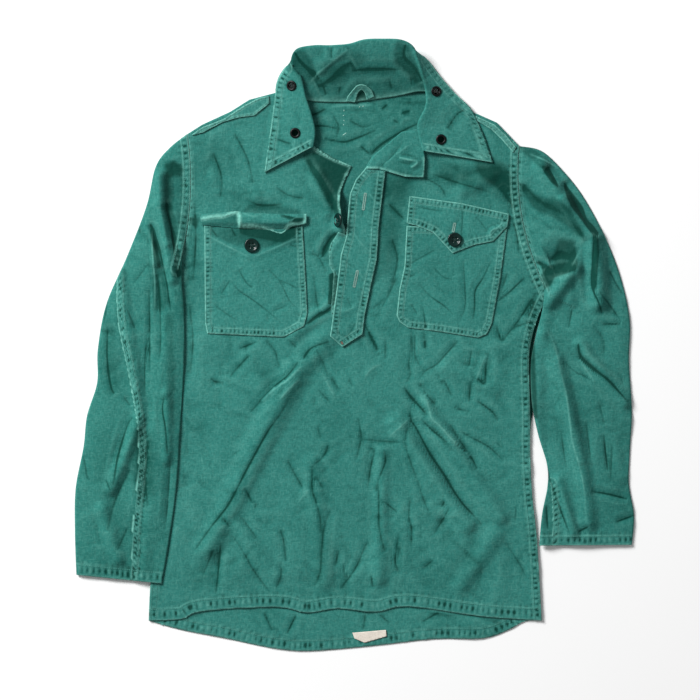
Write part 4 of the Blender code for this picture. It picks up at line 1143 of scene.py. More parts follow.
def make_front_pieces():
    """The pieces sewn on the front, each with the seams that its stitches follow."""
    two_rows = (1.6, 7.6)
    pieces = {}

    def add(node, outline, number, cell, seams, creases="", extra=None):
        made = cloth_piece(node, outline, layer_sheet(number, seams, creases, extra), cell)
        pieces[node] = (made, seams)

    add("button_strip", BUTTON_STRIP, 1, 1.8, edge_seam(BUTTON_STRIP, 3.5, (), wear=0.6))
    add("placket", PLACKET, 2, 1.6, edge_seam(PLACKET, 9.5, (1.6, 8.6)), PLACKET_CREASES)
    add("neck_facing", NECK_FACING, 3, 1.6, FACING_SEAMS, PLACKET_CREASES)
    below_flap = edge_seam(POCKET_LEFT, 8.5, two_rows, closed=False)
    add("pocket_left", POCKET_LEFT, 1, 1.7, below_flap, POCKET_CREASES)
    add("pocket_right", POCKET_RIGHT, 1, 1.7, edge_seam(POCKET_RIGHT, 8.5, two_rows), POCKET_CREASES)
    add("flap_left", FLAP_LEFT, 2, 1.3, on_flap_hem(), FLAP_CREASES, turned_up_flap)
    add("flap_right", FLAP_RIGHT, 2, 1.4, edge_seam(FLAP_RIGHT, 8.5, two_rows), FLAP_CREASES)
    add("strap_left", STRAP_LEFT, 1, 1.5, edge_seam(STRAP_LEFT, 3.0, (2.0,)))
    add("strap_right", STRAP_RIGHT, 1, 1.5, edge_seam(STRAP_RIGHT, 3.0, (2.0,)))
    cloth_piece("size_label", SIZE_LABEL, label_sheet, 1.5, "cream_tape", 0.6)
    return pieces


def label_sheet(x, y):
    relief = 0.25 * value_noise(x, y, 9.0, 33)
    return LAYER + LABEL_WALL + relief, look_of(x, y, relief, np.zeros(x.shape), np.zeros(x.shape))


# ---------------------------------------------------------------- sleeves
SLEEVE_SPANS = 240       # along a sleeve
TOP_SPANS = 78           # across its upper side
UNDER_SPANS = 22         # and across its underside
FOLD_CROWDING = 0.06     # moves points towards the folded edges
LEAST_PILE = 0.8         # from a sleeve's underside up to its top, over one layer
LEAST_SLEEVE_SEAM = -0.6


def lift_on_side(x, y, side_line, toward_body):
    """How far a sleeve's underside is lifted to lie on the body's side."""
    away, side, _, near_x, near_y = nearest_on(x, y, side_line)
    end_x, end_y = side_line[-1]
    at_end = np.hypot(near_x - end_x, near_y - end_y) < 1e-6
    over = np.where(at_end, UNDERARM_REACH - away, -side * toward_body * away)
    return 2 * LAYER * smoothstep(LIFT_FAR, LIFT_NEAR, over)


def make_sleeve(node, rows, toward_body, side_line):
    """A flattened tube through the rows' rings, open at the armhole and at the cuff."""
    around = TOP_SPANS + UNDER_SPANS
    kept = {}
    mesh = grid_mesh(node + "_cloth", SLEEVE_SPANS, around, lambda u, v: sleeve_points(
        u, v, rows, toward_body, side_line, TOP_SPANS / around, kept))
    keep_look(mesh, kept)
    work = bmesh.new()
    work.from_mesh(mesh)
    bmesh.ops.remove_doubles(work, verts=work.verts[:], dist=1e-6)
    bmesh.ops.recalc_face_normals(work, faces=work.faces[:])
    work.to_mesh(mesh)
    work.free()
    look = "sleeve_cotton" if toward_body > 0 else "green_cotton"
    piece = shown(node + "_cloth", mesh, "green_cotton", node, look)
    add_wall(piece, SHELL)
    outer, inner = [row[:2] for row in rows], [row[2:4] for row in rows]
    length = math.dist(*((np.add(outer[end], inner[end]) / 2) for end in (0, -1)))
    around_it = 2.0 * area_of(outer + inner[::-1]) / length
    return piece


# by the direction towards the body: 1 for the left sleeve and -1 for the right one
SLEEVE_LOOKS = {
    1.0: (LEFT_SLEEVE_CREASES, LEFT_SLEEVE_SEAMS, ARMHOLE_LEFT),
    -1.0: (RIGHT_SLEEVE_CREASES, RIGHT_SLEEVE_SEAMS, ARMHOLE_RIGHT),
}


def sleeve_points(u, v, rows, toward_body, side_line, top_share, kept):
    """The tube's points: u runs from the armhole to the cuff, v over the top and back underneath."""
    ring_at = spline(rows, u * (len(rows) - 1))
    outer_x, outer_y, inner_x, inner_y, bow, rise = ring_at.T
    upper = v <= top_share
    s = np.where(upper, v / top_share, (1.0 - v) / (1.0 - top_share))
    t = s - np.sin(2 * math.pi * s) * FOLD_CROWDING
    x = outer_x + (inner_x - outer_x) * t + bow * toward_body * 4.0 * t * (1.0 - t)
    y = outer_y + (inner_y - outer_y) * t
    width = np.hypot(inner_x - outer_x, inner_y - outer_y)
    inset = np.clip(np.minimum(t, 1.0 - t) * width / EDGE_INSET, 0.0, 1.0)
    edge = np.sqrt(1.0 - (1.0 - inset) ** 2)
    under = lift_on_side(x, y, side_line, toward_body)
    puff = rise * (1.0 - np.abs(2.0 * t - 1.0) ** 3)
    creases, seams, armhole_line = SLEEVE_LOOKS[toward_body]
    keep = smoothstep(0.0, SEAM_FADE, nearest_on(x, y, armhole_line)[0])
    relief = (crease_height(x, y, creases) + crumple(x, y, 30)) * keep
    over = under + LAYER + CLOTH + puff + fold_height(x, y, SLEEVE_FOLDS) * np.minimum(1.0, rise / 3.0)
    sewn, wear, painted_shade = seam_relief(x, y, seams)
    over = np.maximum(over + relief, under + LAYER + LEAST_PILE) + np.maximum(sewn, LEAST_SLEEVE_SEAM)
    kept.update(look_of(x, y, np.where(upper, relief + sewn, 0.0), wear,
                        painted_shade + patch_depth(x, y, SLEEVE_PATCHES, SLEEVE_SHADES), (creases,), keep))
    middle = (under + over) / 2
    z = np.where(upper, middle + (over - middle) * edge, middle - (middle - under) * edge)
    return np.stack([x - SEAM_SIDE * toward_body, y, z], axis=1)


# ---------------------------------------------------------------- collar
LEAST_COLLAR = -0.4      # its creases and seams sink no deeper than this
COLLAR_SHADES = [
    (0.6, 4.0, [(-86, 411), (-70, 407), (-60, 388), (-53, 374), (-70, 365), (-77, 379), (-87, 395)]),
    (0.7, 5.0, [(64, 421), (72, 416), (86, 391), (96, 367), (95, 361), (77, 381), (60, 395)]),
    (0.35, 7.0, [(-40, 378), (-20, 392), (0, 404), (10, 400), (-8, 386), (-30, 370)]),
    (1.2, 1.2, [(5, 342), (5, 352), (9, 356), (11, 356), (14, 351), (16, 343)]),
]


def collar_points(u, v, kept):
    """The collar's points: u runs along it, v from the neck seam over the roll to the edge."""
    section = spline(COLLAR, u * (len(COLLAR) - 1))
    seam, roll, edge = section[:, :3], section[:, 3:6], section[:, 6:]
    stand = seam + (roll - seam) * [0.55, 0.55, 0.6]
    fall = roll + (edge - roll) * 0.22
    rows = np.stack([seam, stand, roll, fall, edge])
    place = v * 4.0
    at = np.minimum(place.astype(int), 3)
    t = (place - at)[:, None]
    every = np.arange(len(u))
    points = catmull_rom(*(rows[np.clip(at + step, 0, 4), every] for step in (-1, 0, 1, 2)), t)
    x, y = points[:, 0], points[:, 1]
    seams, wear, painted_shade = seam_relief(x, y, COLLAR_SEAMS)
    on_leaf = smoothstep(0.5, 0.6, v)
    relief = 1.6 * crease_height(x, y, COLLAR_CREASES) + 0.9 * crumple(x, y, 50)
    keep = np.ones(x.shape)
    for eyelet_x, eyelet_y in EYELETS.values():
        keep *= smoothstep(6.0, 12.0, np.hypot(x - eyelet_x, y - eyelet_y))
    relief = relief * keep * smoothstep(0.0, 0.08, v) + seams * on_leaf
    # painted shade on the inside of the collar's stand
    in_stand = 0.45 * smoothstep(0.42, 0.2, v) * smoothstep(-70.0, -50.0, x) * smoothstep(96.0, 84.0, x)
    kept.update(look_of(x, y, relief, wear * on_leaf + 1.3 * np.exp(-((v / 0.035) ** 2)),
                        painted_shade * on_leaf + in_stand + patch_depth(x, y, (), COLLAR_SHADES),
                        (COLLAR_CREASES,), keep))
    points[:, 2] += np.maximum(relief, LEAST_COLLAR)
    return points


LEFT_LEAF = [COLLAR[0][3:5], *(row[6:8] for row in COLLAR[:6])]
RIGHT_LEAF = [*(row[6:8] for row in COLLAR[14:]), COLLAR[-1][3:5]]
COLLAR_SEAMS = [
    Seam(np.array(LEFT_LEAF[1::-1], float), 9.5, (1.8, 8.3), 0.5, 0.8, 7.4, 1.8),
    Seam(smooth_line(LEFT_LEAF[:0:-1], 6), 9.5, (1.8, 8.3), 0.45, 0.7, 7.4, 1.1),
    Seam(smooth_line(RIGHT_LEAF[-2::-1], 6), 9.5, (1.8, 8.3), 0.45, 0.7, 7.4, 1.1),
    Seam(np.array(RIGHT_LEAF[:-3:-1], float), 9.5, (1.8, 8.3), 0.5, 0.8, 7.4, 1.8),
]


def make_collar():
    spans = (len(COLLAR) - 1) * COLLAR_SPANS
    kept = {}
    mesh = grid_mesh("collar_cloth", spans, 4 * PROFILE_SPANS, lambda u, v: collar_points(u, v, kept))
    keep_look(mesh, kept)
    collar = shown("collar_cloth", mesh, "green_cotton", "collar")
    add_wall(collar, COLLAR_WALL, 1.0)
    return collar


# ---------------------------------------------------------------- stitches and thread
THREAD_PITCH = 3.1
THREAD_SIZE = (2.3, 0.55, 0.5)
THREAD_SUNK = 0.25       # the share of a stitch's height that is in the cloth
THREAD_MISSING = 0.06    # the share of stitches that are worn away
THREAD_TURN = 0.07       # how unevenly the stitches lie, in radians
STEEPEST = 0.25          # nothing is laid where the surface's normal rises less than this


def surface_of(*pieces):
    """A search tree of the pieces' evaluated surfaces, in mm."""
    graph = bpy.context.evaluated_depsgraph_get()
    graph.update()
    points, faces = [], []
    for piece in pieces:
        mesh = piece.evaluated_get(graph).data
        start = len(points)
        points.extend(vert.co / MM for vert in mesh.vertices)
        faces.extend([start + index for index in face.vertices] for face in mesh.polygons)
    return BVHTree.FromPolygons(points, faces)


def top_at(surface, x, y):
    """(height, normal) of the highest surface at (x, y), or None where there is none."""
    place, normal, _, _ = surface.ray_cast(Vector((x, y, TALLEST)), Vector((0.0, 0.0, -1.0)))
    return None if place is None else (place.z, normal if normal.z > 0 else -normal)


def along_line(line, aside, pitch):
    """(x, y, direction) every pitch mm along the line, moved aside to its left."""
    line = np.asarray(line, float)
    steps = np.hypot(*np.diff(line, axis=0).T)
    walked = np.concatenate([[0.0], np.cumsum(steps)])
    places = np.arange(0.6 * pitch, walked[-1] - 0.4 * pitch, pitch)
    x, y = (np.interp(places, walked, line[:, axis]) for axis in (0, 1))
    ahead = [np.interp(places + 0.5 * pitch, walked, line[:, axis]) for axis in (0, 1)]
    behind = [np.interp(places - 0.5 * pitch, walked, line[:, axis]) for axis in (0, 1)]
    turn = np.arctan2(ahead[1] - behind[1], ahead[0] - behind[0])
    return zip(x - aside * np.sin(turn), y + aside * np.cos(turn), turn)


class Threads:
    """Short boxes laid on a surface, joined into one mesh."""

    def __init__(self, seed):
        self.work = bmesh.new()
        self.random = np.random.default_rng(seed)

    def lay(self, surface, x, y, turn, size=THREAD_SIZE):
        found = top_at(surface, x, y)
        if found is None or found[1].z < STEEPEST:
            return
        level = Vector((0.0, 0.0, 1.0)).rotation_difference(found[1]).to_matrix().to_4x4()
        place = Matrix.Translation(Vector((x, y, found[0] + (0.5 - THREAD_SUNK) * size[2])) * MM)
        shape = Matrix.Diagonal((*(Vector(size) * MM), 1.0))
        bmesh.ops.create_cube(self.work, size=1.0,
                              matrix=place @ level @ Matrix.Rotation(turn, 4, "Z") @ shape)

    def lay_row(self, surface, line, aside):
        for x, y, turn in along_line(line, aside, THREAD_PITCH):
            if self.random.random() > THREAD_MISSING:
                self.lay(surface, x, y, turn + self.random.normal(0.0, THREAD_TURN))

    def finish(self, name, finish):
        thread_piece(name, self.work, finish)


def thread_piece(name, work, finish):
    """Thread is a piece of its own that stands for no CAD node."""
    piece = linked(name, mesh_from(work, name))
    piece.data.materials.append(material(finish))
    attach(piece, "root")


def stitch_seams(name, seed, pieces, seams):
    surface = surface_of(*pieces)
    threads = Threads(seed)
    for seam in seams:
        for row in seam.rows:
            threads.lay_row(surface, seam.line, row)
    threads.finish(name, "seam_thread")


# x y angle length
BUTTONHOLES = [(13.7, 201.3, 82.0, 23.0), (1.7, 93.2, 78.0, 23.0), (139.0, 165.0, 80.0, 12.0)]
SIDE_STITCH = (1.7, 0.5, 0.6)
SIDE_STITCH_STEP = 0.62
SIDE_STITCH_TURN = 0.12  # how unevenly they lie, in radians
SLIT_TO_ROW = 1.25       # from the slit to the middle of a row
END_STITCH = (1.8, 0.5, 0.7)
END_STITCHES = (-1.2, -0.6, 0.0, 0.6, 1.2)


def beside(x, y, turn, along, aside):
    """The place this far along the direction and to its left."""
    return (x + along * math.cos(turn) - aside * math.sin(turn),
            y + along * math.sin(turn) + aside * math.cos(turn))


def make_buttonholes(pieces):
    """Two packed rows of short cross stitches beside each slit, and a bar at each end."""
    surface = surface_of(*pieces)
    threads = Threads(81)
    for x, y, angle, length in BUTTONHOLES:
        turn = math.radians(angle)
        for along in np.arange(-0.5 * length, 0.5 * length, SIDE_STITCH_STEP):
            for aside in (-SLIT_TO_ROW, SLIT_TO_ROW):
                across = turn + math.pi / 2 + threads.random.normal(0.0, SIDE_STITCH_TURN)
                threads.lay(surface, *beside(x, y, turn, along, aside), across, SIDE_STITCH)
        for along in (-0.5 * length, 0.5 * length):
            for aside in END_STITCHES:
                threads.lay(surface, *beside(x, y, turn, along, aside), turn, END_STITCH)
    threads.finish("buttonhole_stitches", "grey_thread")


# x y angle length of the pale ends of thread left inside the neck
THREAD_ENDS = [(-14.7, 329, 60, 2.0), (-15.4, 322, 20, 1.8), (-14.8, 315, 110, 1.6), (-15.5, 309, 80, 1.6),
               (-14, 296, 35, 6.0), (7, 334, 30, 2.0), (12, 335, 10, 2.2)]
# the tack at the placket's end: x y of its middle, turn in radians, and its threads' size and places
TACK = (-17.5, 3.5, 0.3)
TACK_THREAD = (0.9, 4.0, 0.7)
TACK_PLACES = (-1.0, 0.0, 1.0)


def make_thread_ends(pieces):
    surface = surface_of(*pieces)
    threads = Threads(82)
    for x, y, angle, length in THREAD_ENDS:
        threads.lay(surface, x, y, math.radians(angle), (length, 0.8, 0.5))
    threads.finish("thread_ends", "pale_thread")
    tack = Threads(83)
    x, y, turn = TACK
    for step in TACK_PLACES:
        tack.lay(surface, x + step, y, turn, TACK_THREAD)
    tack.finish("placket_tack", "brown_thread")


# ---------------------------------------------------------------- loop, buttons and eyelets
def make_hanger_loop(collar, back):
    """The tape loop lies on the collar's inner face and arches a little off it."""
    surface = surface_of(collar, back)

    def height(x, y):
        resting = np.array([max((top_at(surface, px + dx, py + dy) or (0.0,))[0]
                                for dx in (-1.0, 0.0, 1.0) for dy in (-1.0, 0.0, 1.0))
                            for px, py in zip(x, y)])
        seams, wear, painted_shade = seam_relief(x, y, [Seam(ring(HANGER_LOOP), 3.0, (1.5,), 0.3, 0.2, 5.0, 1.1)])
        arch = LOOP_ARCH * smoothstep(LOOP_FOOT_Y, LOOP_TOP_Y, y)
        return resting + 0.3 + CLOTH + arch + seams, look_of(x, y, seams, wear, painted_shade)

    cloth_piece("hanger_loop", HANGER_LOOP, height, 1.2)


def frame_of(node):
    """The place and tilt of a flat round CAD node: its middle on the underside, and its own axis as Z."""
    mesh = bpy.data.objects[node].data
    points = read_points(mesh) / MM
    middle = points.mean(axis=0)
    axis = np.linalg.svd(points - middle, full_matrices=False)[2][2]
    axis = axis * np.sign(axis[2])
    heights = (points - middle) @ axis
    near_low = points[heights < heights.min() + 0.05]
    base = (near_low.min(axis=0) + near_low.max(axis=0)) / 2
    turn = Vector((0, 0, 1)).rotation_difference(Vector(axis)).to_matrix().to_4x4()
    return Matrix.Translation(Vector(base) * MM) @ turn


def turned_mesh(name, profile, steps, frame):
    """The closed profile of (radius, height) points, turned about Z and put at the frame."""
    work = bmesh.new()
    corners = [work.verts.new(Vector((radius, 0.0, height)) * MM) for radius, height in profile]
    edges = [work.edges.new(pair) for pair in zip(corners, corners[1:] + corners[:1])]
    bmesh.ops.spin(work, geom=corners + edges, cent=(0, 0, 0), axis=(0, 0, 1), angle=math.tau,
                   steps=steps, use_merge=True)
    bmesh.ops.remove_doubles(work, verts=work.verts[:], dist=1e-7)
    bmesh.ops.recalc_face_normals(work, faces=work.faces[:])
    bmesh.ops.transform(work, matrix=frame, verts=work.verts[:])
    return mesh_from(work, name)


def cut_and_keep(piece, cutters):
    """Cuts the cutters from the piece and keeps the finished mesh as the piece's own."""
    for cutter in cutters:
        step = piece.modifiers.new(cutter.name, "BOOLEAN")
        step.operation, step.solver, step.object = "DIFFERENCE", "EXACT", cutter
    graph = bpy.context.evaluated_depsgraph_get()
    graph.update()
    done = bpy.data.meshes.new_from_object(piece.evaluated_get(graph), preserve_all_data_layers=True,
                                           depsgraph=graph)
    piece.modifiers.clear()
    piece.data = done
    for cutter in cutters:
        bpy.data.objects.remove(cutter)


# The placket's button stands on edge in the opening: x y z of its middle and its turn about Y
TIPPED = {"button_placket": ((-21.5, 175.0, 13.0), -60.0)}


def make_button(node):
    """A turned button with four thread holes, at its CAD place or tipped. Returns its frame."""
    frame = frame_of(node)
    if node in TIPPED:
        place, turn = TIPPED[node]
        frame = Matrix.Translation(Vector(place) * MM) @ Matrix.Rotation(math.radians(turn), 4, "Y")
    radius, high, rim = BUTTON_DIAMETER / 2, BUTTON_THICKNESS, BUTTON_RIM
    profile = [(0.0, 0.0), (radius - rim, 0.0), (radius - 0.5, 0.25 * high), (radius, 0.45 * high),
               (radius, 0.62 * high), (radius - 0.25, 0.84 * high), (radius - 0.4 * rim, high),
               (radius - rim, high), (radius - 1.3 * rim, high - 0.5 * BUTTON_DISH),
               (radius - 1.7 * rim, high - BUTTON_DISH), (0.0, high - BUTTON_DISH)]
    button = shown(node + "_turned", turned_mesh(node + "_turned", profile, 48, frame), "dark_button", node)
    hole = [(0.0, -1.0), (BUTTON_HOLE / 2, -1.0), (BUTTON_HOLE / 2, high + 1.0), (0.0, high + 1.0)]
    cutters = []
    for side_x, side_y in ((1, 1), (-1, 1), (-1, -1), (1, -1)):
        aside = Matrix.Translation(Vector((side_x, side_y, 0.0)) * BUTTON_HOLE_OFFSET * MM)
        cutters.append(linked("thread_hole", turned_mesh("thread_hole", hole, 12, frame @ aside)))
    cut_and_keep(button, cutters)
    return frame


def make_button_thread(node, frame):
    """The cross of thread that holds a button, in its dish."""
    work = bmesh.new()
    lift = Matrix.Translation((0, 0, (BUTTON_THICKNESS - BUTTON_DISH + 0.2) * MM))
    shape = Matrix.Diagonal((*(size * MM for size in BUTTON_THREAD), 1.0))
    for turn in (math.pi / 4, -math.pi / 4):
        bmesh.ops.create_cube(work, size=1.0,
                              matrix=frame @ lift @ Matrix.Rotation(turn, 4, "Z") @ shape)
    thread_piece(node + "_thread", work, "dark_thread")


def make_eyelets(collar):
    """A rolled ring in a cut hole at each CAD eyelet's own place."""
    flange, barrel, bore, lip = EYELET_FLANGE / 2, EYELET_BARREL / 2, EYELET_BORE / 2, EYELET_LIP
    rim = [(bore, -EYELET_DEPTH), (barrel, -EYELET_DEPTH), (barrel, 0.0), (flange, 0.0),
           (flange - 0.05 * lip, 0.3 * lip), (flange - 0.35 * lip, 0.7 * lip), (flange - lip, 0.95 * lip),
           (flange - 1.5 * lip, lip), (bore + 1.1 * lip, 0.97 * lip), (bore + 0.5 * lip, 0.8 * lip),
           (bore + 0.1 * lip, 0.45 * lip), (bore, 0.0)]
    cut, reach = barrel + EYELET_CLEARANCE, 3 * EYELET_DEPTH
    hole = [(0.0, -reach), (cut, -reach), (cut, reach), (0.0, reach)]
    cutters = []
    for node in EYELETS:
        frame = frame_of(node) @ Matrix.Translation((0.0, 0.0, EYELET_DEPTH * MM))
        shown(node + "_ring", turned_mesh(node + "_ring", rim, 40, frame), "black_metal", node)
        cutters.append(linked("eyelet_hole", turned_mesh("eyelet_hole", hole, 24, frame)))
    cut_and_keep(collar, cutters)


# ---------------------------------------------------------------- materials
DYE = (0.026, 0.180, 0.155)         # the cloth's green, linear
DYE_SHADE_AND_FLECK = (0.0008, 0.042, 0.031)   # the colour of painted shade in folds, hollows and gaps, and of random dark flecks
DYE_PALE = (0.17, 0.46, 0.39)       # where it is worn on an edge, where a partly worn, partly painted highlight lies on crests and raised creases, and in pale specks
SLEEVE_DYE = (0.022, 0.166, 0.141)
# the plain finishes: colour roughness metallic speck_mm gloss
PLAIN = {
    "seam_thread": ((0.045, 0.20, 0.17), 0.9, 0.0, 1.5, 0.5),
    "grey_thread": ((0.12, 0.23, 0.20), 0.9, 0.0, 1.5, 0.5),
    "pale_thread": ((0.22, 0.40, 0.35), 0.9, 0.0, 1.5, 0.5),
    "brown_thread": ((0.09, 0.06, 0.045), 0.9, 0.0, 1.5, 0.5),
    "dark_thread": ((0.01, 0.03, 0.026), 0.9, 0.0, 1.5, 0.5),
    "dark_button": ((0.001, 0.012, 0.010), 0.25, 0.0, 2.0, 0.3),
    "black_metal": ((0.012, 0.014, 0.014), 0.38, 0.9, 1.2, 0.5),
    "cream_tape": ((0.50, 0.46, 0.40), 0.9, 0.0, 2.5, 0.5),
}
COTTONS = {"green_cotton": DYE, "sleeve_cotton": SLEEVE_DYE}
SPECK_GAIN = 1.8         # how much brighter a plain finish's specks are


def put(tree, kind, inputs=None, **settings):
    """Adds a node. Its inputs are given by name or number, as a value or as another node's output."""
    made = tree.nodes.new(kind)
    for name, value in settings.items():
        setattr(made, name, value)
    for name, value in (inputs or {}).items():
        if isinstance(value, bpy.types.NodeSocket):
            tree.links.new(value, made.inputs[name])
        else:
            made.inputs[name].default_value = value
    return made


def math_of(tree, operation, *values, clamp=False):
    made = put(tree, "ShaderNodeMath", dict(enumerate(values)), operation=operation)
    made.use_clamp = clamp
    return made.outputs[0]


def blend(tree, factor, first, second):
    made = put(tree, "ShaderNodeMix", {"Factor": factor}, data_type="RGBA")
    for socket, value in ((made.inputs[6], first), (made.inputs[7], second)):
        if isinstance(value, bpy.types.NodeSocket):
            tree.links.new(value, socket)
        else:
            socket.default_value = (*value, 1.0)
    return made.outputs[2]


def noise_of(tree, vector, size_mm, detail, roughness):
    """Noise from 0 to 1 with features about this big; the vector is in metres."""
    return put(tree, "ShaderNodeTexNoise", {"Vector": vector, "Scale": 1000.0 / size_mm, "Detail": detail,
                                            "Roughness": roughness}).outputs["Fac"]


def new_group(name, inputs, outputs):
    """A shader node group with the sockets given as {name: type}, and its two end nodes."""
    tree = bpy.data.node_groups.new(name, "ShaderNodeTree")
    for in_out, sockets in (("INPUT", inputs), ("OUTPUT", outputs)):
        for socket, kind in sockets.items():
            tree.interface.new_socket(socket, in_out=in_out, socket_type="NodeSocket" + kind)
    return tree, tree.nodes.new("NodeGroupInput"), tree.nodes.new("NodeGroupOutput")


def woven_cotton():
    """Group: the height and the slub of a plain weave, read along and across the cloth."""
    tree, given, result = new_group(
        "woven_cotton", {"Vector": "Vector"}, {"Height": "Float", "Slub": "Float"})
    threads = []
    for stretch in ((1.0, 0.22, 0.22), (0.22, 1.0, 0.22)):
        along = put(tree, "ShaderNodeVectorMath", {0: given.outputs["Vector"], 1: stretch},
                    operation="MULTIPLY")
        threads.append(noise_of(tree, along.outputs[0], 1.5, 1.0, 0.6))
    both = math_of(tree, "ADD", *threads)
    tree.links.new(math_of(tree, "MULTIPLY", both, 0.5), result.inputs["Height"])
    tree.links.new(math_of(tree, "MAXIMUM", *threads), result.inputs["Slub"])
    return tree


def faded_dye():
    """Group: where washed cloth is paler, from worn edges, crests that are partly worn and partly given a
    painted highlight, and random clouds; and where it is darker, from shade painted in folds and hollows,
    and random clouds.
    """
    tree, given, result = new_group(
        "faded_dye", {"Vector": "Vector", "Crest": "Float", "Wear": "Float", "Sunk": "Float"},
        {"Pale": "Float", "Shade And Tone": "Float"})
    vector = given.outputs["Vector"]
    patchy = noise_of(tree, vector, 7.0, 3.0, 0.65)
    clouds = noise_of(tree, vector, 90.0, 3.0, 0.55)
    uneven = math_of(tree, "MULTIPLY_ADD", patchy, 1.7, -0.25, clamp=True)
    # worn edges, and raised crease lines painted paler, partly worn and partly a painted highlight, in
    # patches
    scuffed_and_highlit = math_of(tree, "MULTIPLY", given.outputs["Wear"], uneven)
    # crests are paler: partly worn, partly a painted highlight
    raised = math_of(tree, "MULTIPLY", math_of(tree, "MAXIMUM", given.outputs["Crest"], 0.0), 0.42)
    pale = math_of(tree, "ADD", math_of(tree, "ADD", scuffed_and_highlit, raised),
                   math_of(tree, "MULTIPLY", clouds, 0.10))
    tree.links.new(math_of(tree, "SUBTRACT", pale, 0.03, clamp=True), result.inputs["Pale"])
    # painted shade in the valleys, where the crest is below 0
    folded = math_of(tree, "MULTIPLY", math_of(tree, "MINIMUM", given.outputs["Crest"], 0.0), -1.5)
    sunk = math_of(tree, "MULTIPLY_ADD", given.outputs["Sunk"], 0.8, folded)
    dim = math_of(tree, "MULTIPLY", math_of(tree, "SUBTRACT", 0.5, clouds), 0.9)
    tree.links.new(math_of(tree, "ADD", sunk, dim, clamp=True), result.inputs["Shade And Tone"])
    return tree


def creased_line():
    """Group: the sharp line of a crease as painted into the colour, shade along a trough and a paler line,
    partly worn and partly a painted highlight, along a raised crease; and the height of its small V.
    """
    tree, given, result = new_group("creased_line", {"Line": "Float", "Cut": "Float"},
                                    {"Painted Line": "Float", "Height": "Float"})
    away = math_of(tree, "ABSOLUTE", given.outputs["Line"])
    core = put(tree, "ShaderNodeMapRange", {"Value": away, 1: 0.0, 2: 2.1, 3: 1.0, 4: 0.0},
               interpolation_type="SMOOTHSTEP").outputs[0]
    valley = put(tree, "ShaderNodeMapRange", {"Value": away, 1: 0.0, 2: 4.0, 3: -1.0, 4: 0.0}).outputs[0]
    tree.links.new(math_of(tree, "MULTIPLY", core, given.outputs["Cut"]), result.inputs["Painted Line"])
    tree.links.new(math_of(tree, "MULTIPLY", valley, given.outputs["Cut"]), result.inputs["Height"])
    return tree


def new_material(name):
    made = bpy.data.materials.new(name)
    made.use_nodes = True
    return made, made.node_tree, made.node_tree.nodes["Principled BSDF"]


def set_inputs(shader, values):
    for socket, value in values.items():
        shader.inputs[socket].default_value = value


def cotton(name, dye):
    """The garment's washed cotton."""
    made, tree, shader = new_material(name)
    place = put(tree, "ShaderNodeTexCoord").outputs["Object"]
    read = {value: put(tree, "ShaderNodeAttribute", attribute_name=value).outputs["Fac"]
            for value in ("crest", "wear", "painted_shade", "line", "cut")}
    weave = put(tree, "ShaderNodeGroup", node_tree=group("woven_cotton", woven_cotton))
    tree.links.new(place, weave.inputs["Vector"])
    crease = put(tree, "ShaderNodeGroup", node_tree=group("creased_line", creased_line))
    tree.links.new(read["line"], crease.inputs["Line"])
    tree.links.new(read["cut"], crease.inputs["Cut"])
    # painted shade in hollows and along the troughs' crease lines
    sunk = math_of(tree, "ADD", read["painted_shade"], crease.outputs["Painted Line"])
    fade = put(tree, "ShaderNodeGroup", node_tree=group("faded_dye", faded_dye))
    # raised crease lines are painted paler: partly worn, partly a painted highlight
    raised = math_of(tree, "MULTIPLY", math_of(tree, "MINIMUM", crease.outputs["Painted Line"], 0.0), -0.7)
    wear_and_highlight = math_of(tree, "ADD", read["wear"], raised)
    for socket, value in (("Vector", place), ("Crest", read["crest"]), ("Wear", wear_and_highlight), ("Sunk", sunk)):
        tree.links.new(value, fade.inputs[socket])
    # painted shade in folds, hollows and gaps, with random darker clouds
    colour = blend(tree, fade.outputs["Shade And Tone"], dye, DYE_SHADE_AND_FLECK)
    colour = blend(tree, math_of(tree, "MULTIPLY", fade.outputs["Pale"], 0.9), colour, DYE_PALE)
    speck = math_of(tree, "MULTIPLY_ADD", weave.outputs["Slub"], 1.6, -0.80, clamp=True)
    # the pale specks fade where shade is painted
    lit = math_of(tree, "MULTIPLY_ADD", fade.outputs["Shade And Tone"], -0.45, 0.5, clamp=True)
    colour = blend(tree, math_of(tree, "MULTIPLY", speck, lit), colour, DYE_PALE)
    fleck = math_of(tree, "MULTIPLY_ADD", noise_of(tree, place, 3.4, 2.0, 0.6), 2.6, -1.15, clamp=True)
    colour = blend(tree, math_of(tree, "MULTIPLY", fleck, 0.35), colour, DYE_SHADE_AND_FLECK)
    tree.links.new(colour, shader.inputs["Base Color"])
    crinkle = noise_of(tree, place, 8.0, 4.0, 0.6)
    height = math_of(tree, "ADD", math_of(tree, "MULTIPLY", crinkle, 1.3),
                     math_of(tree, "MULTIPLY", weave.outputs["Height"], 0.35))
    height = math_of(tree, "ADD", height, crease.outputs["Height"])
    bump = put(tree, "ShaderNodeBump", {"Height": height, "Strength": 0.5, "Distance": 0.0011})
    tree.links.new(bump.outputs[0], shader.inputs["Normal"])
    set_inputs(shader, {"Roughness": 0.88, "Sheen Weight": 0.03, "Sheen Roughness": 0.5,
                        "Specular IOR Level": 0.06})
    return made


def group(name, build):
    """The node group of this name, built when it is first asked for."""
    return bpy.data.node_groups.get(name) or build()


def plain(name, colour, roughness, metallic, speck_mm, gloss):
    """A hard finish with fine specks of its own."""
    made, tree, shader = new_material(name)
    place = put(tree, "ShaderNodeTexCoord").outputs["Object"]
    speck = noise_of(tree, place, speck_mm, 3.0, 0.6)
    bright = [SPECK_GAIN * value for value in colour]
    tree.links.new(blend(tree, speck, colour, bright), shader.inputs["Base Color"])
    set_inputs(shader, {"Roughness": roughness, "Metallic": metallic, "Specular IOR Level": gloss})
    return made


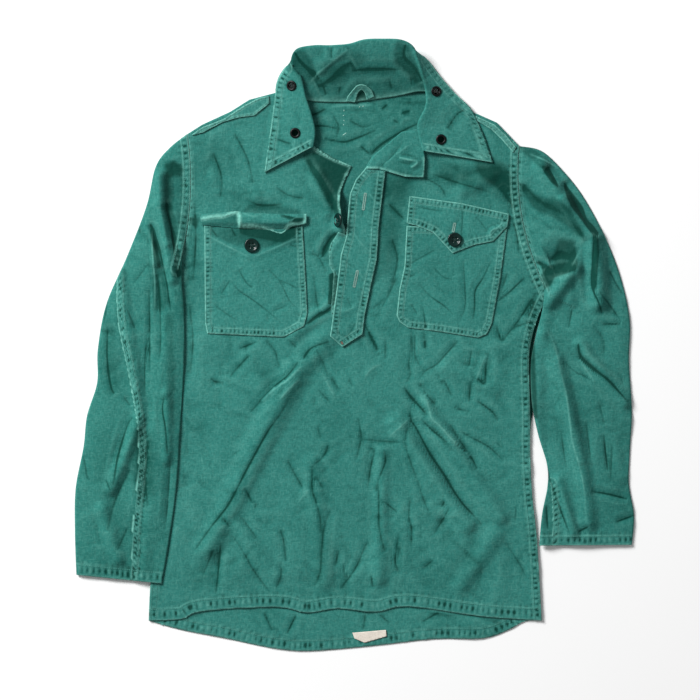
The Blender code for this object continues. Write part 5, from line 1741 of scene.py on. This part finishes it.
def material(name):
    """The finish of this name, made when it is first asked for."""
    look = name + "_look"
    if look in bpy.data.materials:
        return bpy.data.materials[look]
    if name in COTTONS:
        return cotton(look, COTTONS[name])
    return plain(look, *PLAIN[name])


# ---------------------------------------------------------------- stage, in mm
VIEW_MIDDLE = (-6.3, -6.3)   # what the picture's middle shows
VIEW_WIDTH = 980.0
CAMERA_HEIGHT = 6000.0
SENSOR = 36.0
FLOOR_DROP = 0.5
# and in metres
FLOOR_HALF = 4.0
FLOOR_COLOUR = (0.95, 0.95, 0.95, 1)
SKY_STRENGTH = 0.31
KEY_ENERGY, KEY_SIZE, KEY_PLACE = 500.0, 2.2, (-3.6, 3.0, 3.3)


def make_floor():
    work = bmesh.new()
    bmesh.ops.create_grid(work, x_segments=1, y_segments=1, size=FLOOR_HALF)
    floor = linked("floor", mesh_from(work, "floor"))
    floor.location.z = -FLOOR_DROP * MM
    paper, _, shader = new_material("paper")
    set_inputs(shader, {"Base Color": FLOOR_COLOUR})
    floor.data.materials.append(paper)


def make_camera():
    data = bpy.data.cameras.new("camera")
    data.sensor_width, data.lens = SENSOR, SENSOR * CAMERA_HEIGHT / VIEW_WIDTH
    data.clip_end = 100.0
    camera = linked("camera", data)
    camera.location = Vector((*VIEW_MIDDLE, CAMERA_HEIGHT)) * MM
    bpy.context.scene.camera = camera


def make_light():
    scene = bpy.context.scene
    world = bpy.data.worlds.new("sky")
    world.use_nodes = True
    set_inputs(world.node_tree.nodes["Background"], {"Color": (1, 1, 1, 1), "Strength": SKY_STRENGTH})
    scene.world = world

    data = bpy.data.lights.new("key", "AREA")
    data.energy, data.size = KEY_ENERGY, KEY_SIZE
    key = linked("key", data)
    key.location = KEY_PLACE
    key.rotation_euler = (-Vector(KEY_PLACE)).to_track_quat("-Z", "Y").to_euler()
    scene.view_settings.view_transform = "Standard"


def main():
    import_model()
    back, front = make_body()
    sewn_on = make_front_pieces()
    sleeve_left = make_sleeve("sleeve_left", LEFT_SLEEVE, 1.0, SIDE_LINE_LEFT)
    sleeve_right = make_sleeve("sleeve_right", RIGHT_SLEEVE, -1.0, SIDE_LINE_RIGHT)
    collar = make_collar()
    make_hanger_loop(collar, back)
    make_eyelets(collar)
    for node in ("button_pocket_left", "button_flap_right", "button_placket"):
        make_button_thread(node, make_button(node))
    stitch_seams("front_stitches", 91, [front], FRONT_SEAMS)
    stitch_seams("back_stitches", 92, [back], BACK_SEAMS)
    stitch_seams("sleeve_left_stitches", 93, [sleeve_left], LEFT_SLEEVE_SEAMS)
    stitch_seams("sleeve_right_stitches", 94, [sleeve_right], RIGHT_SLEEVE_SEAMS)
    stitch_seams("collar_stitches", 95, [collar], COLLAR_SEAMS)
    for number, (node, (piece, seams)) in enumerate(sewn_on.items()):
        if any(seam.rows for seam in seams):
            stitch_seams(node + "_stitches", 100 + number, [piece], seams)
    make_buttonholes([sewn_on["placket"][0], sewn_on["flap_right"][0]])
    make_thread_ends([back, sewn_on["placket"][0]])
    make_floor()
    make_camera()
    make_light()


main()
